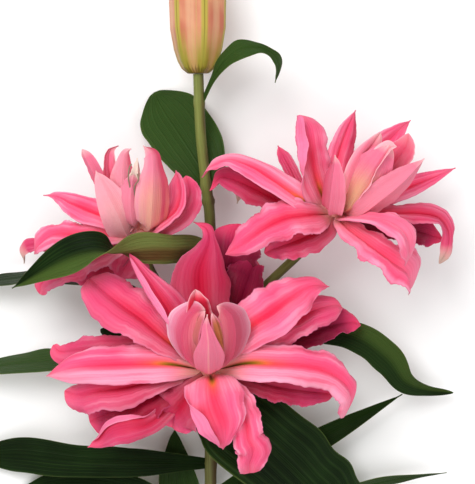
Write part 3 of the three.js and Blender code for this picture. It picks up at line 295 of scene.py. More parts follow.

# A leaf: the way its upper side looks, its shape and look, and its stations. rust is the brown of its
# underside, lit a side painted lighter (painted light), and tone a lighter green, partly its own and partly
# painted light.
LEAVES = dict(
    leaf_upper_wide=((0, 0, 1), dict(wave=0.2, tip=0.3, tone=0.45), [(-2, 114, 30, 4),
        (-2, 124, 29, 14, 13), (-9, 138, 25, 20), (-18, 152, 18, 22, 21), (-27, 165, 10, 21, 20),
        (-36, 178, 2, 12)]),
    leaf_upper_small=((-0.5, 0.5, 0.8), dict(wave=0.5, tone=0.55), [(-4, 169, 36, 1.6),
        (3, 183.5, 41, 2.5), (10, 194, 46, 5.5, 6), (20, 201, 49, 7, 8), (31, 202, 49, 4.2, 4.5),
        (38.5, 199.5, 48, 2.8, 3.2), (43, 194.5, 45, 5, 3.5), (43.5, 188.5, 43, 3.5, 3),
        (42, 181, 41, 0)]),
    leaf_across_left_bloom=((0, 0, -1), dict(wave=0.4, cup=0.35, rust=1, lit=1), [(1, 78, 30, 4),
        (-8, 77, 46, 8, 8, -5), (-22, 76, 68, 9, 9, -8), (-38, 76, 78, 10, 10, -25),
        (-56, 74, 82, 12, 12, -90), (-70, 75, 82, 14, 13, -145), (-90, 69, 76, 11, 10, -175),
        (-121, 52, 64, 0, 0, -185)]),
    leaf_left_high=((0, 0.5, 1), dict(roll=45, wave=0.8, tone=0.2), [(1, 20, 25, 3), (-50, 48, 24, 10),
        (-95, 58, 22, 12), (-130, 56, 16, 11), (-158, 50, 10, 3)]),
    leaf_left_middle=((0, 0.5, 1), dict(roll=35, wave=0.8, tone=0.5), [(1, 2, 23, 3),
        (-50, 8, 26, 11, 10), (-95, 5, 22, 13, 12), (-130, 1, 16, 12, 11), (-160, -5, 8, 3)]),
    leaf_left_low=((0, 0, 1), dict(wave=0.8), [(1, -62, 16, 3), (-14, -61, 22, 5), (-45, -60, 28, 9),
        (-85, -59.5, 22, 10.5), (-125, -57, 10, 11), (-162, -60, -1, 1)]),
    leaf_left_lowest=((0, 0, 1), dict(wave=0.8), [(1.5, -112, 11, 3), (-30, -90, 16, 9),
        (-60, -79, 15, 12), (-95, -77, 8, 10), (-132, -86, -1, 1)]),
    leaf_upright=((0, 0, 1), dict(wave=0.8, tone=0.3), [(2, -150, 7.5, 3), (-14, -110, 9, 11),
        (-20, -75, 12, 13), (-22, -50, 16, 5), (-22, -39, 18, 0)]),
    leaf_right_wide=((0, 0, 1), dict(wave=1.2), [(1, -2, 22, 4), (5, -18, 38, 17, 18),
        (17, -29, 47, 25, 29), (32, -40, 52, 27, 33), (58, -66, 44, 29), (85, -98, 24, 24, 22),
        (102, -130, -1, 2)]),
    leaf_right_high=((0, 0.3, 1), dict(wave=0.8, tone=0.15, lit=0.6), [(1, 26, 25, 3), (50, 27, 28, 9),
        (90, 21, 32, 10, 9), (112, 7, 32, 11, 10), (125, -9, 26, 7), (140, -15, 16, 3.5),
        (158, -17, 10, 1.5)]),
    leaf_right_narrow=((0, 0.5, 0.5), dict(roll=30, cup=0.6, wave=0.4, tone=0.2), [(1, -84, 14, 3),
        (40, -64, 18, 8), (78, -43, 20, 7), (124, -17, 22, 0)]),
    leaf_right_low=((0, 0, 1), dict(roll=50, wave=0.4, tone=0.4), [(2, -132, 9, 3), (50, -94, 12, 8),
        (108, -75, 12, 6), (154, -69, 8, 0)]),
    leaf_under=((0, 0, 1), dict(wave=0.6, tone=0.2), [(2, -158, 7, 3), (20, -118, 6, 11),
        (30, -85, 10, 13), (34, -62, 12, 0)]),
    leaf_small_hook=((0, 0, 1), dict(wave=0.2), [(1, 12, 24, 1.6), (-40, 20, 36, 3), (-58, 24, 36, 3),
        (-68, 23, 32, 2.2), (-62, 18, 28, 0)]),
)


def unit(v):
    v = np.asarray(v, float)
    return v / max(np.linalg.norm(v), 1e-9)


def full(station):
    """A station's eight numbers: one half-width stands for both, and what it leaves out is 0."""
    if len(station) == 4:
        station = (*station, station[3])
    return (*station, 0, 0, 0)[:8]


def swing(turns):
    """A sine wave after so many full turns."""
    return np.sin(2 * np.pi * turns)


def smooth(rows, count):
    """Rows of numbers joined by a smooth curve and read off again at even steps along it."""
    p = [np.asarray(r, float) for r in rows]
    p = [2 * p[0] - p[1], *p, 2 * p[-1] - p[-2]]
    fine = []
    for a, b, c, d in zip(p, p[1:], p[2:], p[3:]):
        for t in np.linspace(0, 1, CURVE_STEPS, endpoint=False):
            square, cube = 2 * a - 5 * b + 4 * c - d, 3 * b - a - 3 * c + d
            fine.append(0.5 * (2 * b + (c - a) * t + square * t * t + cube * t**3))
    fine = np.array([*fine, p[-2]])
    run = np.concatenate([[0], np.cumsum(np.linalg.norm(np.diff(fine[:, :3], axis=0), axis=1))])
    at = np.linspace(0, run[-1], count)
    return np.stack([np.interp(at, run, fine[:, k]) for k in range(fine.shape[1])], 1)


def carry(line, face):
    """Directions along a line, and normals carried along it without twist."""
    t = np.gradient(line, axis=0)
    t /= np.linalg.norm(t, axis=1)[:, None]
    n = unit(face - (face @ t[0]) * t[0])
    normals = [n]
    for i in range(1, len(line)):
        step = line[i] - line[i - 1]
        k = 2 / (step @ step)
        turned = n - k * (step @ n) * step
        ahead = t[i - 1] - k * (step @ t[i - 1]) * step
        bend = t[i] - ahead
        if bend @ bend > 1e-12:
            turned = turned - 2 / (bend @ bend) * (bend @ turned) * bend
        n = unit(turned - (turned @ t[i]) * t[i])
        normals.append(n)
    return t, np.array(normals)


def bend_edges(vv, half, bend, hinge, fold):
    """How far out and how high each point lies when the part past the hinge curls by bend."""
    bend = np.where(np.abs(bend) < 1e-3, 1e-3, bend)
    beyond = np.clip((np.abs(vv) - hinge) / (1 - hinge), 0, 1)
    bent = bend * np.minimum(beyond / fold, 1)
    arc = half * (1 - hinge) * fold / bend
    flap = half * (1 - hinge) * np.maximum(beyond - fold, 0)
    out = np.minimum(np.abs(vv), hinge) * half + arc * np.sin(bent) + flap * np.cos(bend)
    return np.sign(vv) * out, arc * (1 - np.cos(bent)) + flap * np.sin(bend)


def lay_on_floor(top, under, body):
    """Lifts what is below the floor; a blade that lies on the floor keeps its thickness."""
    for points in (top, under):
        points[..., 2] = np.maximum(points[..., 2], LOWEST)
    low = np.minimum(top[..., 2], under[..., 2])
    upper = top[..., 2] >= under[..., 2]
    for points, is_high in ((top, upper), (under, ~upper)):
        raised = np.maximum(points[..., 2], low + 2 * body * 0.9)
        points[..., 2] = np.where((low <= FLAT_BELOW) & is_high, raised, points[..., 2])


def blade(stations, face, grid, thick, roll=0, cup=0.1, bulge=0.18, groove=1.1, wave=2, waves=3, phase=0,
          tip=0.06, hinge=0.4, fold=1, frill=0.2, ragged=0, pleat=0, **look):
    """A petal or leaf: two sides, shares along (0..1) and across (-1..1), where painted shade goes, and
    ridges.
    """
    rows, columns = grid
    data = smooth([full(s) for s in stations], rows)
    line = data[:, :3]
    t, n = carry(line, unit(face))
    angle = np.radians(roll + data[:, 5])[:, None]
    turned = n * np.cos(angle) + np.cross(t, n) * np.sin(angle)
    across = np.cross(t, turned)
    u = np.linspace(0, 1, rows)
    uu, vv = np.meshgrid(u, np.linspace(-1, 1, columns), indexing="ij")

    # Width, round at the tip
    past = np.clip((u - (1 - tip)) / tip, 0, 1)
    ends = np.sqrt(1 - past**2) * 0.95 + 0.05
    width = np.where(vv < 0, data[:, 3, None], data[:, 4, None])
    half = np.maximum(width * ends[:, None], LEAST_HALF_WIDTH)

    # Ripples, creases, cup and groove
    flow = np.clip((uu - 0.12) / 0.3, 0, 1) * np.clip((1 - uu) / 0.1, 0, 1)
    side = np.where(vv < 0, 0.37, 0)
    beat = waves * uu + 0.35 * np.sin(5.1 * uu + 9 * phase + 4 * side)
    ripple = swing(beat + phase + side) * wave * np.abs(vv) ** 2.2 * flow
    ripple += swing(3.1 * beat + 2 * phase + side) * frill * np.abs(vv) ** 5 * flow
    creases = swing(2.4 * vv * (1 + 0.15 * np.sin(4 * uu + 7 * phase)) + 3.3 * phase)
    creases *= np.clip(uu / 0.3, 0, 1) * np.clip((1 - uu) / 0.25, 0, 1) * (1 - np.exp(-((vv / 0.2) ** 2)))
    ridge = ripple / (wave + frill + 0.4) + creases * min(1, 2 * pleat)
    lift = half * (cup * vv**2 + bulge * np.sin(np.pi * np.abs(vv))) + ripple + pleat * creases
    lift -= groove * np.exp(-((vv / 0.14) ** 2)) * np.clip(1.1 - uu, 0, 1)

    # Edges that swell and are a little torn
    edge = 1 + min(0.06, 0.03 * wave) * swing(beat * 1.9 + phase) * flow
    tears = swing(4.3 * beat + phase) + swing(7.7 * beat + side) + 0.4 * swing(11.3 * beat + 2 * phase)
    half = half * (edge + ragged * tears * flow)

    bend = np.radians(np.where(vv < 0, data[:, 6, None], data[:, 7, None]))
    out, curl = bend_edges(vv, half, bend, hinge, fold)
    mid = line[:, None] + across[:, None] * out[..., None] + turned[:, None] * (lift + curl)[..., None]
    normal = np.cross(np.gradient(mid, axis=1), np.gradient(mid, axis=0))
    normal /= np.linalg.norm(normal, axis=2)[..., None] + 1e-12
    body = thick / 2 * (1 - 0.62 * np.abs(vv) ** 2.5) * (1 - 0.35 * uu**3)
    top, under = mid + normal * body[..., None], mid - normal * body[..., None]
    lay_on_floor(top, under, body)
    # Where painted shade goes, next to an edge that rolls over
    rolled = np.clip((np.degrees(bend) - 70) / 60, 0, 1)
    shade = rolled * np.exp(-(((np.abs(vv) - hinge + 0.12) / 0.26) ** 2))
    return top, under, uu, vv, shade, ridge


def tube_faces(rows, sides):
    """Faces that join rings of points to a tube with closed ends."""
    faces = []
    for i in range(rows - 1):
        for k in range(sides):
            a, b = i * sides + k, i * sides + (k + 1) % sides
            faces.append((a, b, b + sides, a + sides))
    faces.append(tuple(range(sides))[::-1])
    faces.append(tuple((rows - 1) * sides + k for k in range(sides)))
    return faces


def blade_faces(rows, columns):
    """Faces of two sheets of points, the upper and the under side, joined all round."""
    below = rows * columns
    faces = []
    for i in range(rows - 1):
        for j in range(columns - 1):
            a, b = i * columns + j, (i + 1) * columns + j
            faces.append((a, b, b + 1, a + 1))
            faces.append((below + a, below + a + 1, below + b + 1, below + b))
        a, b = i * columns, (i + 1) * columns
        faces.append((a, below + a, below + b, b))
        a, b = a + columns - 1, b + columns - 1
        faces.append((a, b, below + b, below + a))
    for j in range(columns - 1):
        faces.append((j, j + 1, below + j + 1, below + j))
        a = (rows - 1) * columns + j
        faces.append((a, below + a, below + a + 1, a + 1))
    return faces


class Mesh:
    """Collects surfaces in millimetres, with numbers at each point for the materials to read."""

    KEYS = ("along", "across", "under", "seed", "shade", "ridge", "paint", "dark", "rust", "lit", "calyx")
    KEYS += LOOKS

    def __init__(self):
        self.points, self.faces, self.marks, self.count = [], [], {k: [] for k in self.KEYS}, 0

    def add(self, points, faces, **marks):
        points = np.asarray(points, float).reshape(-1, 3)
        self.points.append(points)
        self.faces.extend(tuple(self.count + k for k in f) for f in faces)
        for key in self.KEYS:
            values = np.broadcast_to(np.asarray(marks.get(key, 0), float).ravel(), (len(points),))
            self.marks[key].append(values)
        self.count += len(points)

    def add_blade(self, sheet, **marks):
        top, under, uu, vv, shade, ridge = sheet
        points = np.concatenate([top.reshape(-1, 3), under.reshape(-1, 3)])
        marks["under"] = np.repeat([0, 1], uu.size)
        marks["along"], marks["across"], marks["shade"] = (np.tile(m.ravel(), 2) for m in (uu, vv, shade))
        marks["ridge"] = np.concatenate([ridge.ravel(), -ridge.ravel()])
        self.add(points, blade_faces(*uu.shape), **marks)

    def add_rod(self, stations, radius_at, rows, sides, **marks):
        """A rod along stations; under is then the share of the turn, and across the way to the right."""
        line = smooth(stations, rows)
        t, n = carry(line, np.array([0, 0, 1]))
        b = np.cross(t, n)
        angle = 2 * np.pi * np.arange(sides) / sides
        u = np.linspace(0, 1, rows)
        points = []
        for i in range(rows):
            r = np.array([radius_at(u[i], a, line[i]) for a in angle])[:, None]
            points.append(line[i] + r * (n[i] * np.cos(angle)[:, None] + b[i] * np.sin(angle)[:, None]))
        points = np.concatenate(points)
        points[:, 2] = np.maximum(points[:, 2], LOWEST)
        marks["along"], marks["under"] = np.repeat(u, sides), np.tile(angle / (2 * np.pi), rows)
        marks["across"] = points[:, 0] - np.repeat(line[:, 0], sides)
        self.add(points, tube_faces(rows, sides), **marks)

    def make(self, name, material, node, slot):
        mesh = bpy.data.meshes.new(name)
        points = (np.concatenate(self.points) + SHIFT) * MM
        mesh.from_pydata(points.tolist(), [], self.faces)
        for key in self.KEYS:
            layer = mesh.attributes.new(key, "FLOAT", "POINT")
            layer.data.foreach_set("value", np.concatenate(self.marks[key]).astype(np.float32))
        mesh.polygons.foreach_set("use_smooth", [True] * len(mesh.polygons))
        mesh.set_sharp_from_angle(angle=math.radians(SHARP_ANGLE))
        mesh.materials.append(material)
        mesh.update()
        piece = bpy.data.objects.new(name, mesh)
        bpy.context.scene.collection.objects.link(piece)
        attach(piece, "root")
        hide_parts(node)


def knob(at, axis, radius, long):
    """The swollen seat that petals grow from, as rings of points round its axis."""
    rows, sides = KNOB_GRID
    side = unit(np.cross(axis, (1, 0.2, 0)))
    other = np.cross(axis, side)
    points = []
    for i in range(rows):
        polar = np.pi * (0.5 + i) / rows
        middle = at + axis * radius * long * -np.cos(polar)
        for k in range(sides):
            a = 2 * np.pi * k / sides
            r = radius * np.sin(polar) * (1 + 0.05 * np.cos(3 * a))
            points.append(middle + r * (side * np.cos(a) + other * np.sin(a)))
    return points


def whorl(bloom, petals, kind):
    """Petals round their seat, with their looks as numbers at their points."""
    made = Mesh()
    axis = unit(bloom["axis"])
    at = np.array(bloom["at"], float) + axis * kind["lift"]
    made.add(knob(at, axis, kind["seat"], kind["long"]), tube_faces(*KNOB_GRID), calyx=1, along=0.1)
    for i, (shape, stations) in enumerate(petals.values()):
        first = full(stations[0])
        outward = np.array(first[:3], float) - at
        outward -= (outward @ axis) * axis
        reach = min(kind["reach"], np.linalg.norm(outward) * FOOT_REACH)
        outward = unit(outward)
        face = axis - outward
        if kind is OUTER:
            face = face + np.array([0, 0, bloom["lean"]])
        root = (*(at + outward * reach), first[3] * FOOT_WIDTH, first[4] * FOOT_WIDTH)
        shape = {**kind["shape"], **shape}
        sheet = blade([root, *stations], face, PETAL_GRID, PETAL_THICK, phase=i * PETAL_PHASE_STEP, **shape)
        look = {k: shape.get(k, 0) for k in LOOKS}
        end = np.tile(np.clip((sheet[2].ravel() - 0.86) / 0.1, 0, 1), 2) * shape.get("olive_tip", 0)
        look["paint"] = np.maximum(end, shape.get("snow", 0))
        look["dark"] = 0.6 * end
        made.add_blade(sheet, seed=(i * PETAL_SEED_STEP) % 1, **look)
    return made


def colour(red, green, blue):
    """An sRGB colour, 0..255, as the linear one that nodes take."""
    parts = [c / 255 for c in (red, green, blue)]
    return (*[c / 12.92 if c <= 0.04045 else ((c + 0.055) / 1.055) ** 2.4 for c in parts], 1)


# In the palettes the dusky shades from foot to tip, darkest, deep and fold are painted shade; rim is the pale
# rim and also painted highlight on crests; pale is the petal's own pale patches and also painted light.
PINK = dict(
    foot=(240, 196, 172), low=(246, 132, 156), middle=(250, 98, 140), high=(244, 88, 132),
    tip=(226, 100, 126), rim_and_highlight=(253, 166, 192), edge=(186, 78, 122), streak=(252, 76, 120),
    stripe=(240, 150, 140), vein=(196, 30, 82), pale=(252, 162, 186), red=(244, 26, 70), deep_shade=(190, 8, 44),
    fold=(226, 36, 88), darkest_shade=(84, 2, 30), shaded_foot=(124, 0, 26), shaded=(158, 12, 52),
    shaded_tip=(188, 42, 90), back_foot=(214, 150, 150), back=(240, 124, 160), back_high=(236, 110, 150),
    back_streak=(246, 150, 178), seat=(242, 150, 140))
BLUSH = dict(
    foot=(238, 196, 156), low=(238, 150, 150), middle=(240, 116, 144), high=(242, 112, 146),
    tip=(250, 190, 190), rim_and_highlight=(253, 204, 210), edge=(250, 196, 204), streak=(232, 104, 132),
    stripe=(222, 178, 128), vein=(196, 74, 104), pale=(252, 180, 188), red=(206, 26, 58), deep_shade=(190, 10, 46),
    fold=(206, 76, 106), darkest_shade=(120, 6, 36), shaded_foot=(180, 14, 44), shaded=(182, 48, 78),
    shaded_tip=(206, 66, 96), back_foot=(246, 166, 144), back=(214, 112, 134), back_high=(226, 106, 138),
    back_streak=(222, 124, 146), seat=(236, 156, 146))


class Nodes:
    """A material's node tree, written as small calls that return output sockets."""

    def __init__(self, name):
        self.material = bpy.data.materials.new(name)
        self.material.use_nodes = True
        self.tree = self.material.node_tree
        self.shader = self.tree.nodes["Principled BSDF"]

    def put(self, socket, value):
        if isinstance(value, bpy.types.NodeSocket):
            self.tree.links.new(value, socket)
        else:
            socket.default_value = colour(*value) if isinstance(value, tuple) else value

    def fill(self, node, values):
        for key, value in values.items():
            self.put(node.inputs[key.replace("_", " ")], value)

    def node(self, kind, **values):
        node = self.tree.nodes.new("ShaderNode" + kind)
        self.fill(node, values)
        return node

    def attribute(self, name):
        node = self.node("Attribute")
        node.attribute_name = name
        return node.outputs["Fac"]

    def attributes(self, *names):
        return [self.attribute(name) for name in names]

    def place(self):
        return self.node("TexCoord").outputs["Object"]

    def maths(self, kind, a, b=0, clamp=False):
        node = self.node("Math")
        node.operation, node.use_clamp = kind, clamp
        self.put(node.inputs[0], a)
        self.put(node.inputs[1], b)
        return node.outputs[0]

    def plus(self, a, b):
        return self.maths("ADD", a, b)

    def times(self, *values):
        made = values[0]
        for value in values[1:]:
            made = self.maths("MULTIPLY", made, value)
        return made

    def fade(self, value, start, end, low=0, high=1):
        """low where value is at start, high where it is at end, with a smooth way between."""
        if start > end:
            start, end, low, high = end, start, high, low
        node = self.node("MapRange", Value=value, From_Min=start, From_Max=end, To_Min=low, To_Max=high)
        node.interpolation_type = "SMOOTHSTEP"
        return node.outputs[0]

    def mix(self, share, a, b):
        node = self.node("Mix")
        node.data_type = "RGBA"
        self.put(node.inputs[0], share)
        self.put(node.inputs[6], a)
        self.put(node.inputs[7], b)
        return node.outputs[2]

    def ramp(self, value, stops):
        node = self.node("ValToRGB")
        self.put(node.inputs[0], value)
        points = node.color_ramp.elements
        while len(points) < len(stops):
            points.new(0.5)
        for point, (at, shade) in zip(points, stops):
            point.position, point.color = at, colour(*shade)
        return node.outputs[0]

    def join(self, x, y, z):
        return self.node("CombineXYZ", X=x, Y=y, Z=z).outputs[0]

    def noise(self, vector, scale, detail=3, rough=0.5):
        node = self.node("TexNoise", Vector=vector, Scale=scale, Detail=detail, Roughness=rough)
        return node.outputs["Fac"]

    def bump(self, height, strength, distance, before=None):
        node = self.node("Bump", Height=height, Strength=strength, Distance=distance)
        if before is not None:
            self.put(node.inputs["Normal"], before)
        return node.outputs["Normal"]

    def lines(self, across, count, wander, thin):
        """Thin lines side by side: 1 on a line, 0 between them."""
        turned = self.plus(self.times(across, count * math.pi), wander)
        return self.fade(self.maths("ABSOLUTE", self.maths("SINE", turned)), thin, 1)

    def finish(self, base, rough, normal, **constants):
        self.fill(self.shader, dict(Base_Color=base, Roughness=rough, Normal=normal, **constants))
        return self.material


class BladeNodes(Nodes):
    """The node tree of petals or leaves, with places along and across them."""

    def __init__(self, name, spread):
        super().__init__(name)
        self.along, self.across, self.under, self.tone = self.attributes("along", "across", "under", "tone")
        self.width = self.maths("ABSOLUTE", self.across)
        self.far = self.times(self.attribute("seed"), spread)

    def grain(self, wide, long, detail, rough=0.5, shift=0):
        """Noise drawn out along the blade, another one on each blade."""
        x, y = self.times(self.across, wide), self.times(self.along, long)
        return self.noise(self.join(x, y, self.plus(self.far, shift)), 1, detail, rough)


class PetalNodes(BladeNodes):
    """The node tree of petals, with their palette, streaks, veins and cream middle."""

    def __init__(self, name, shades):
        super().__init__(name, 37)
        self.shades = shades
        self.streaks = self.grain(7, 1.3, 4, 0.6)
        lines = self.lines(self.across, 9, self.times(self.streaks, 2.2), 0.6)
        self.veins = self.times(lines, self.fade(self.width, 1, 0.75), self.fade(self.along, 0, 0.2))
        middle = self.times(self.fade(self.width, 0.9, 0.2), self.fade(self.along, 0.1, 0.3))
        self.beige = self.times(middle, self.fade(self.along, 0.8, 0.45), self.attribute("beige"))

    def lay(self, share, base, shade):
        """A shade of the palette laid over base."""
        return self.mix(share, base, self.shades[shade])

    def run(self, *stops):
        """A ramp of the palette's shades from foot to tip."""
        return self.ramp(self.along, [(at, self.shades[shade]) for at, shade in stops])


def petal_top(n):
    """The upper side from foot to tip: rim, streaks, painted light on one side, midrib, veins, painted shade
    and highlight on folds, olive foot.
    """
    red, gold, ridge, lit_flank = n.attributes("red", "gold", "ridge", "lit_flank")
    cloud = n.grain(1.1, 2.6, 2, shift=9)
    base = n.run((0, "foot"), (0.22, "low"), (0.5, "middle"), (0.85, "high"), (1, "tip"))
    # A pale rim near the edge, partly the petal's own, partly painted highlight
    base = n.lay(n.times(n.fade(n.width, 0.7, 1), n.fade(n.along, 1, 0.7, 0.25, 0.6)), base, "rim_and_highlight")
    base = n.lay(n.fade(n.streaks, 0.35, 0.75, 0, 0.35), base, "streak")
    base = n.lay(n.fade(cloud, 0.45, 0.75, 0, 0.35), base, "pale")
    # Painted light: one side of the petal paler, as if lit.
    lit_side = n.fade(n.times(n.across, lit_flank), -0.1, 0.6, 0, 0.6)
    base = n.lay(n.times(lit_side, n.fade(n.along, 0.1, 0.3)), base, "pale")
    rib_edge = n.plus(n.width, n.fade(n.streaks, 0.2, 0.8, -0.08, 0.08))
    rib = n.times(n.fade(rib_edge, 0.5, 0), n.fade(n.along, 0.05, 0.3), n.fade(n.along, 0.92, 0.52))
    base = n.lay(n.times(rib, red, 0.8), base, "red")
    base = n.lay(n.times(n.veins, 0.1), base, "vein")
    # Painted shade in the hollows of ripples and creases, painted highlight on their crests.
    base = n.lay(n.fade(ridge, -0.1, -0.9, 0, 0.5), base, "fold")
    base = n.lay(n.fade(ridge, 0.15, 0.9, 0, 0.5), base, "rim_and_highlight")
    glow = n.times(n.fade(n.width, 0.35, 0), n.fade(n.along, 0.46, 0.22), gold)
    base = n.mix(n.times(glow, 0.75), base, (244, 96, 58))
    olive = n.times(n.fade(n.width, 0.22, 0.03), n.fade(n.along, 0.34, 0.22), gold)
    stops = [(0.1, (74, 56, 12)), (0.2, (128, 100, 20)), (0.33, (226, 146, 44))]
    base = n.mix(olive, base, n.ramp(n.along, stops))
    return petal_shade_and_tones(n, base, red)


def petal_shade_and_tones(n, base, red):
    """Painted shade on dark petals and painted light on pale ones, painted shade beside a rolled edge, the
    edge's line and the cream middle.
    """
    # Painted shade: dark petals turn dusky crimson from foot to tip.
    shaded = n.run((0, "shaded_foot"), (0.55, "shaded"), (0.85, "shaded_tip"), (1, "streak"))
    base = n.mix(n.maths("MULTIPLY", n.tone, -1.05, True), base, shaded)
    # Painted shade: a deeper red middle on dark petals.
    middle = n.times(n.fade(n.width, 0.5, 0), n.fade(n.along, 1, 0.5))
    base = n.lay(n.times(middle, red, n.fade(n.tone, 0, -0.5), 0.5), base, "deep_shade")
    # Painted deep shade on the darkest petals, less of it at the tip.
    darkest_shade = n.times(n.fade(n.tone, -1, -1.5, 0, 0.7), n.fade(n.along, 0.95, 0.72, 0.25, 1))
    base = n.lay(darkest_shade, base, "darkest_shade")
    # Painted light: pale petals turn paler.
    base = n.lay(n.fade(n.tone, 0, 1, 0, 0.8), base, "pale")
    # Painted shade beside a rolled edge.
    base = n.lay(n.times(n.attribute("shade"), 0.75), base, "deep_shade")
    base = n.lay(n.fade(n.width, 0.92, 1, 0, 0.45), base, "edge")
    return n.mix(n.beige, base, n.mix(n.streaks, (202, 146, 108), (226, 162, 138)))


def petal_back(n):
    base = n.run((0, "back_foot"), (0.3, "back"), (0.9, "back_high"), (1, "tip"))
    base = n.lay(n.fade(n.streaks, 0.35, 0.75, 0, 0.5), base, "back_streak")
    base = n.lay(n.times(n.veins, 0.12), base, "vein")
    spine = n.times(n.fade(n.width, 0.1, 0), n.attribute("spine"), 0.6)
    base = n.mix(spine, base, (236, 196, 170))
    # Painted light on the backs of pale petals, painted shade on the backs of dark ones.
    base = n.lay(n.fade(n.tone, 0, 1, 0, 0.7), base, "pale")
    base = n.lay(n.fade(n.tone, -0.4, -1, 0, 0.6), base, "shaded")
    return n.mix(n.times(n.beige, 0.9), base, (218, 172, 128))


def petal_marks(n, base):
    """Both sides: the brown tongue, a side in painted shade with the other painted lighter, stripes, deep red
    and a hood's bands, with painted shade on the right hood.
    """
    amber, lean, stripes, flush, bands = n.attributes("amber", "lean", "stripes", "flush", "bands")
    tongue = n.times(n.fade(n.width, 0.95, 0.5), n.fade(n.along, 0.4, 0.6), n.fade(n.along, 1, 0.85))
    base = n.mix(n.times(tongue, amber, 0.9), base, (168, 98, 44))
    # Painted shade on one side of the petal, painted light on the other.
    shaded_side = n.times(n.across, lean)
    base = n.lay(n.times(n.fade(shaded_side, 0, 0.8), n.fade(n.along, 0.1, 0.35), 0.85), base, "shaded")
    base = n.lay(n.fade(shaded_side, -0.2, -0.9, 0, 0.35), base, "pale")
    pair = n.times(n.lines(n.across, 2, 0.9, 0.3), stripes, n.fade(n.along, 0.8, 0.3), 0.5)
    base = n.lay(pair, base, "stripe")
    flushed = n.times(flush, n.fade(n.width, 1, 0.75), n.fade(n.along, 1, 0.88))
    base = n.mix(flushed, base, n.mix(n.streaks, (198, 16, 48), (222, 22, 58)))
    side = n.plus(n.times(n.across, bands, 0.5), 0.5)
    side = n.plus(side, n.fade(n.streaks, 0.2, 0.8, -0.06, 0.06))
    hood = n.ramp(side, [
        (0, (238, 196, 212)), (0.12, (222, 140, 166)), (0.35, (208, 84, 114)),
        (0.55, (198, 56, 92)), (0.72, (222, 112, 124)), (0.9, (230, 152, 140))])
    # Painted shade darkens the right hood.
    hood = n.mix(n.fade(bands, 0.2, 0.9, 0, 0.55), hood, (144, 52, 68))
    hooded = n.times(n.maths("ABSOLUTE", bands), n.fade(n.along, 0.15, 0.35), n.fade(n.along, 1, 0.94), 0.8)
    return n.mix(hooded, base, hood)


def petal_material(name, shades):
    n = PetalNodes(name, shades)
    calyx, paint, dark = n.attributes("calyx", "paint", "dark")
    fine = n.grain(30, 2.2, 2)
    base = petal_marks(n, n.mix(n.under, petal_top(n), petal_back(n)))
    base = n.mix(calyx, base, n.mix(fine, shades["seat"], shades["back_foot"]))
    base = n.mix(paint, base, n.mix(dark, (236, 228, 208), (92, 76, 38)))
    relief = n.plus(n.plus(n.times(n.veins, -0.35), n.times(n.streaks, 0.9)), n.times(fine, 0.25))
    normal = n.bump(relief, 0.5, 0.0005)
    normal = n.bump(n.noise(n.place(), 900, 2), 0.2, 0.0002, normal)
    n.shader.inputs["Subsurface Radius"].default_value = (1, 0.35, 0.4)
    return n.finish(base, n.fade(n.streaks, 0.2, 0.8, 0.42, 0.56), normal, Subsurface_Weight=0.15,
                    Subsurface_Scale=0.004, Specular_IOR_Level=0.14)


def leaf_material(name):
    n = BladeNodes(name, 41)
    rust, lit = n.attributes("rust", "lit")
    streaks = n.grain(10, 1.6, 4, 0.6)
    fine = n.grain(60, 3, 2)
    cloud = n.noise(n.place(), 22, 2)
    ends = n.times(n.fade(n.width, 1, 0.9), n.fade(n.along, 0, 0.06), n.fade(n.along, 1, 0.94))
    veins = n.times(n.lines(n.across, 5, n.times(streaks, 0.5), 0.8), ends)
    hair = n.times(n.lines(n.across, 23, n.times(streaks, 0.9), 0.5), ends)

    top = n.mix(n.fade(cloud, 0.35, 0.7), (9, 22, 4), (20, 40, 11))
    # Lighter leaves: partly their own lighter green, partly painted light.
    top = n.mix(n.fade(n.tone, 0, 1, 0, 0.9), top, (74, 106, 44))
    top = n.mix(n.fade(streaks, 0.4, 0.8, 0, 0.25), top, (48, 76, 30))
    # Painted light on the side of a leaf that catches the light.
    top = n.mix(n.times(lit, n.fade(n.across, 0.25, -0.5), 0.85), top, (78, 100, 42))
    top = n.mix(n.times(hair, 0.25), top, (20, 38, 12))
    top = n.mix(n.times(veins, n.fade(cloud, 0.35, 0.7, 0.04, 0.11)), top, (80, 110, 52))
    top = n.mix(n.fade(n.width, 0.955, 1, 0, 0.35), top, (96, 118, 58))

    back = n.mix(streaks, (92, 102, 48), (124, 132, 72))
    back = n.mix(n.times(hair, 0.3), back, (70, 84, 36))
    stain = n.times(rust, n.fade(cloud, 0.3, 0.6, 0.5, 1), n.fade(n.width, 0.95, 0.6))
    back = n.mix(n.times(stain, n.fade(n.across, -0.4, 0.2)), back, (86, 50, 28))

    relief = n.plus(n.plus(n.times(veins, -1), n.times(streaks, 0.5)), n.times(hair, -0.3))
    normal = n.bump(relief, 0.7, 0.0006)
    normal = n.bump(n.noise(n.place(), 700, 2), 0.2, 0.00025, normal)
    rough = n.plus(n.fade(fine, 0.2, 0.8, 0.34, 0.48), n.times(n.under, 0.15))
    return n.finish(n.mix(n.under, top, back), rough, normal, Subsurface_Weight=0.04,
                    Subsurface_Scale=0.002, Specular_IOR_Level=0.07)


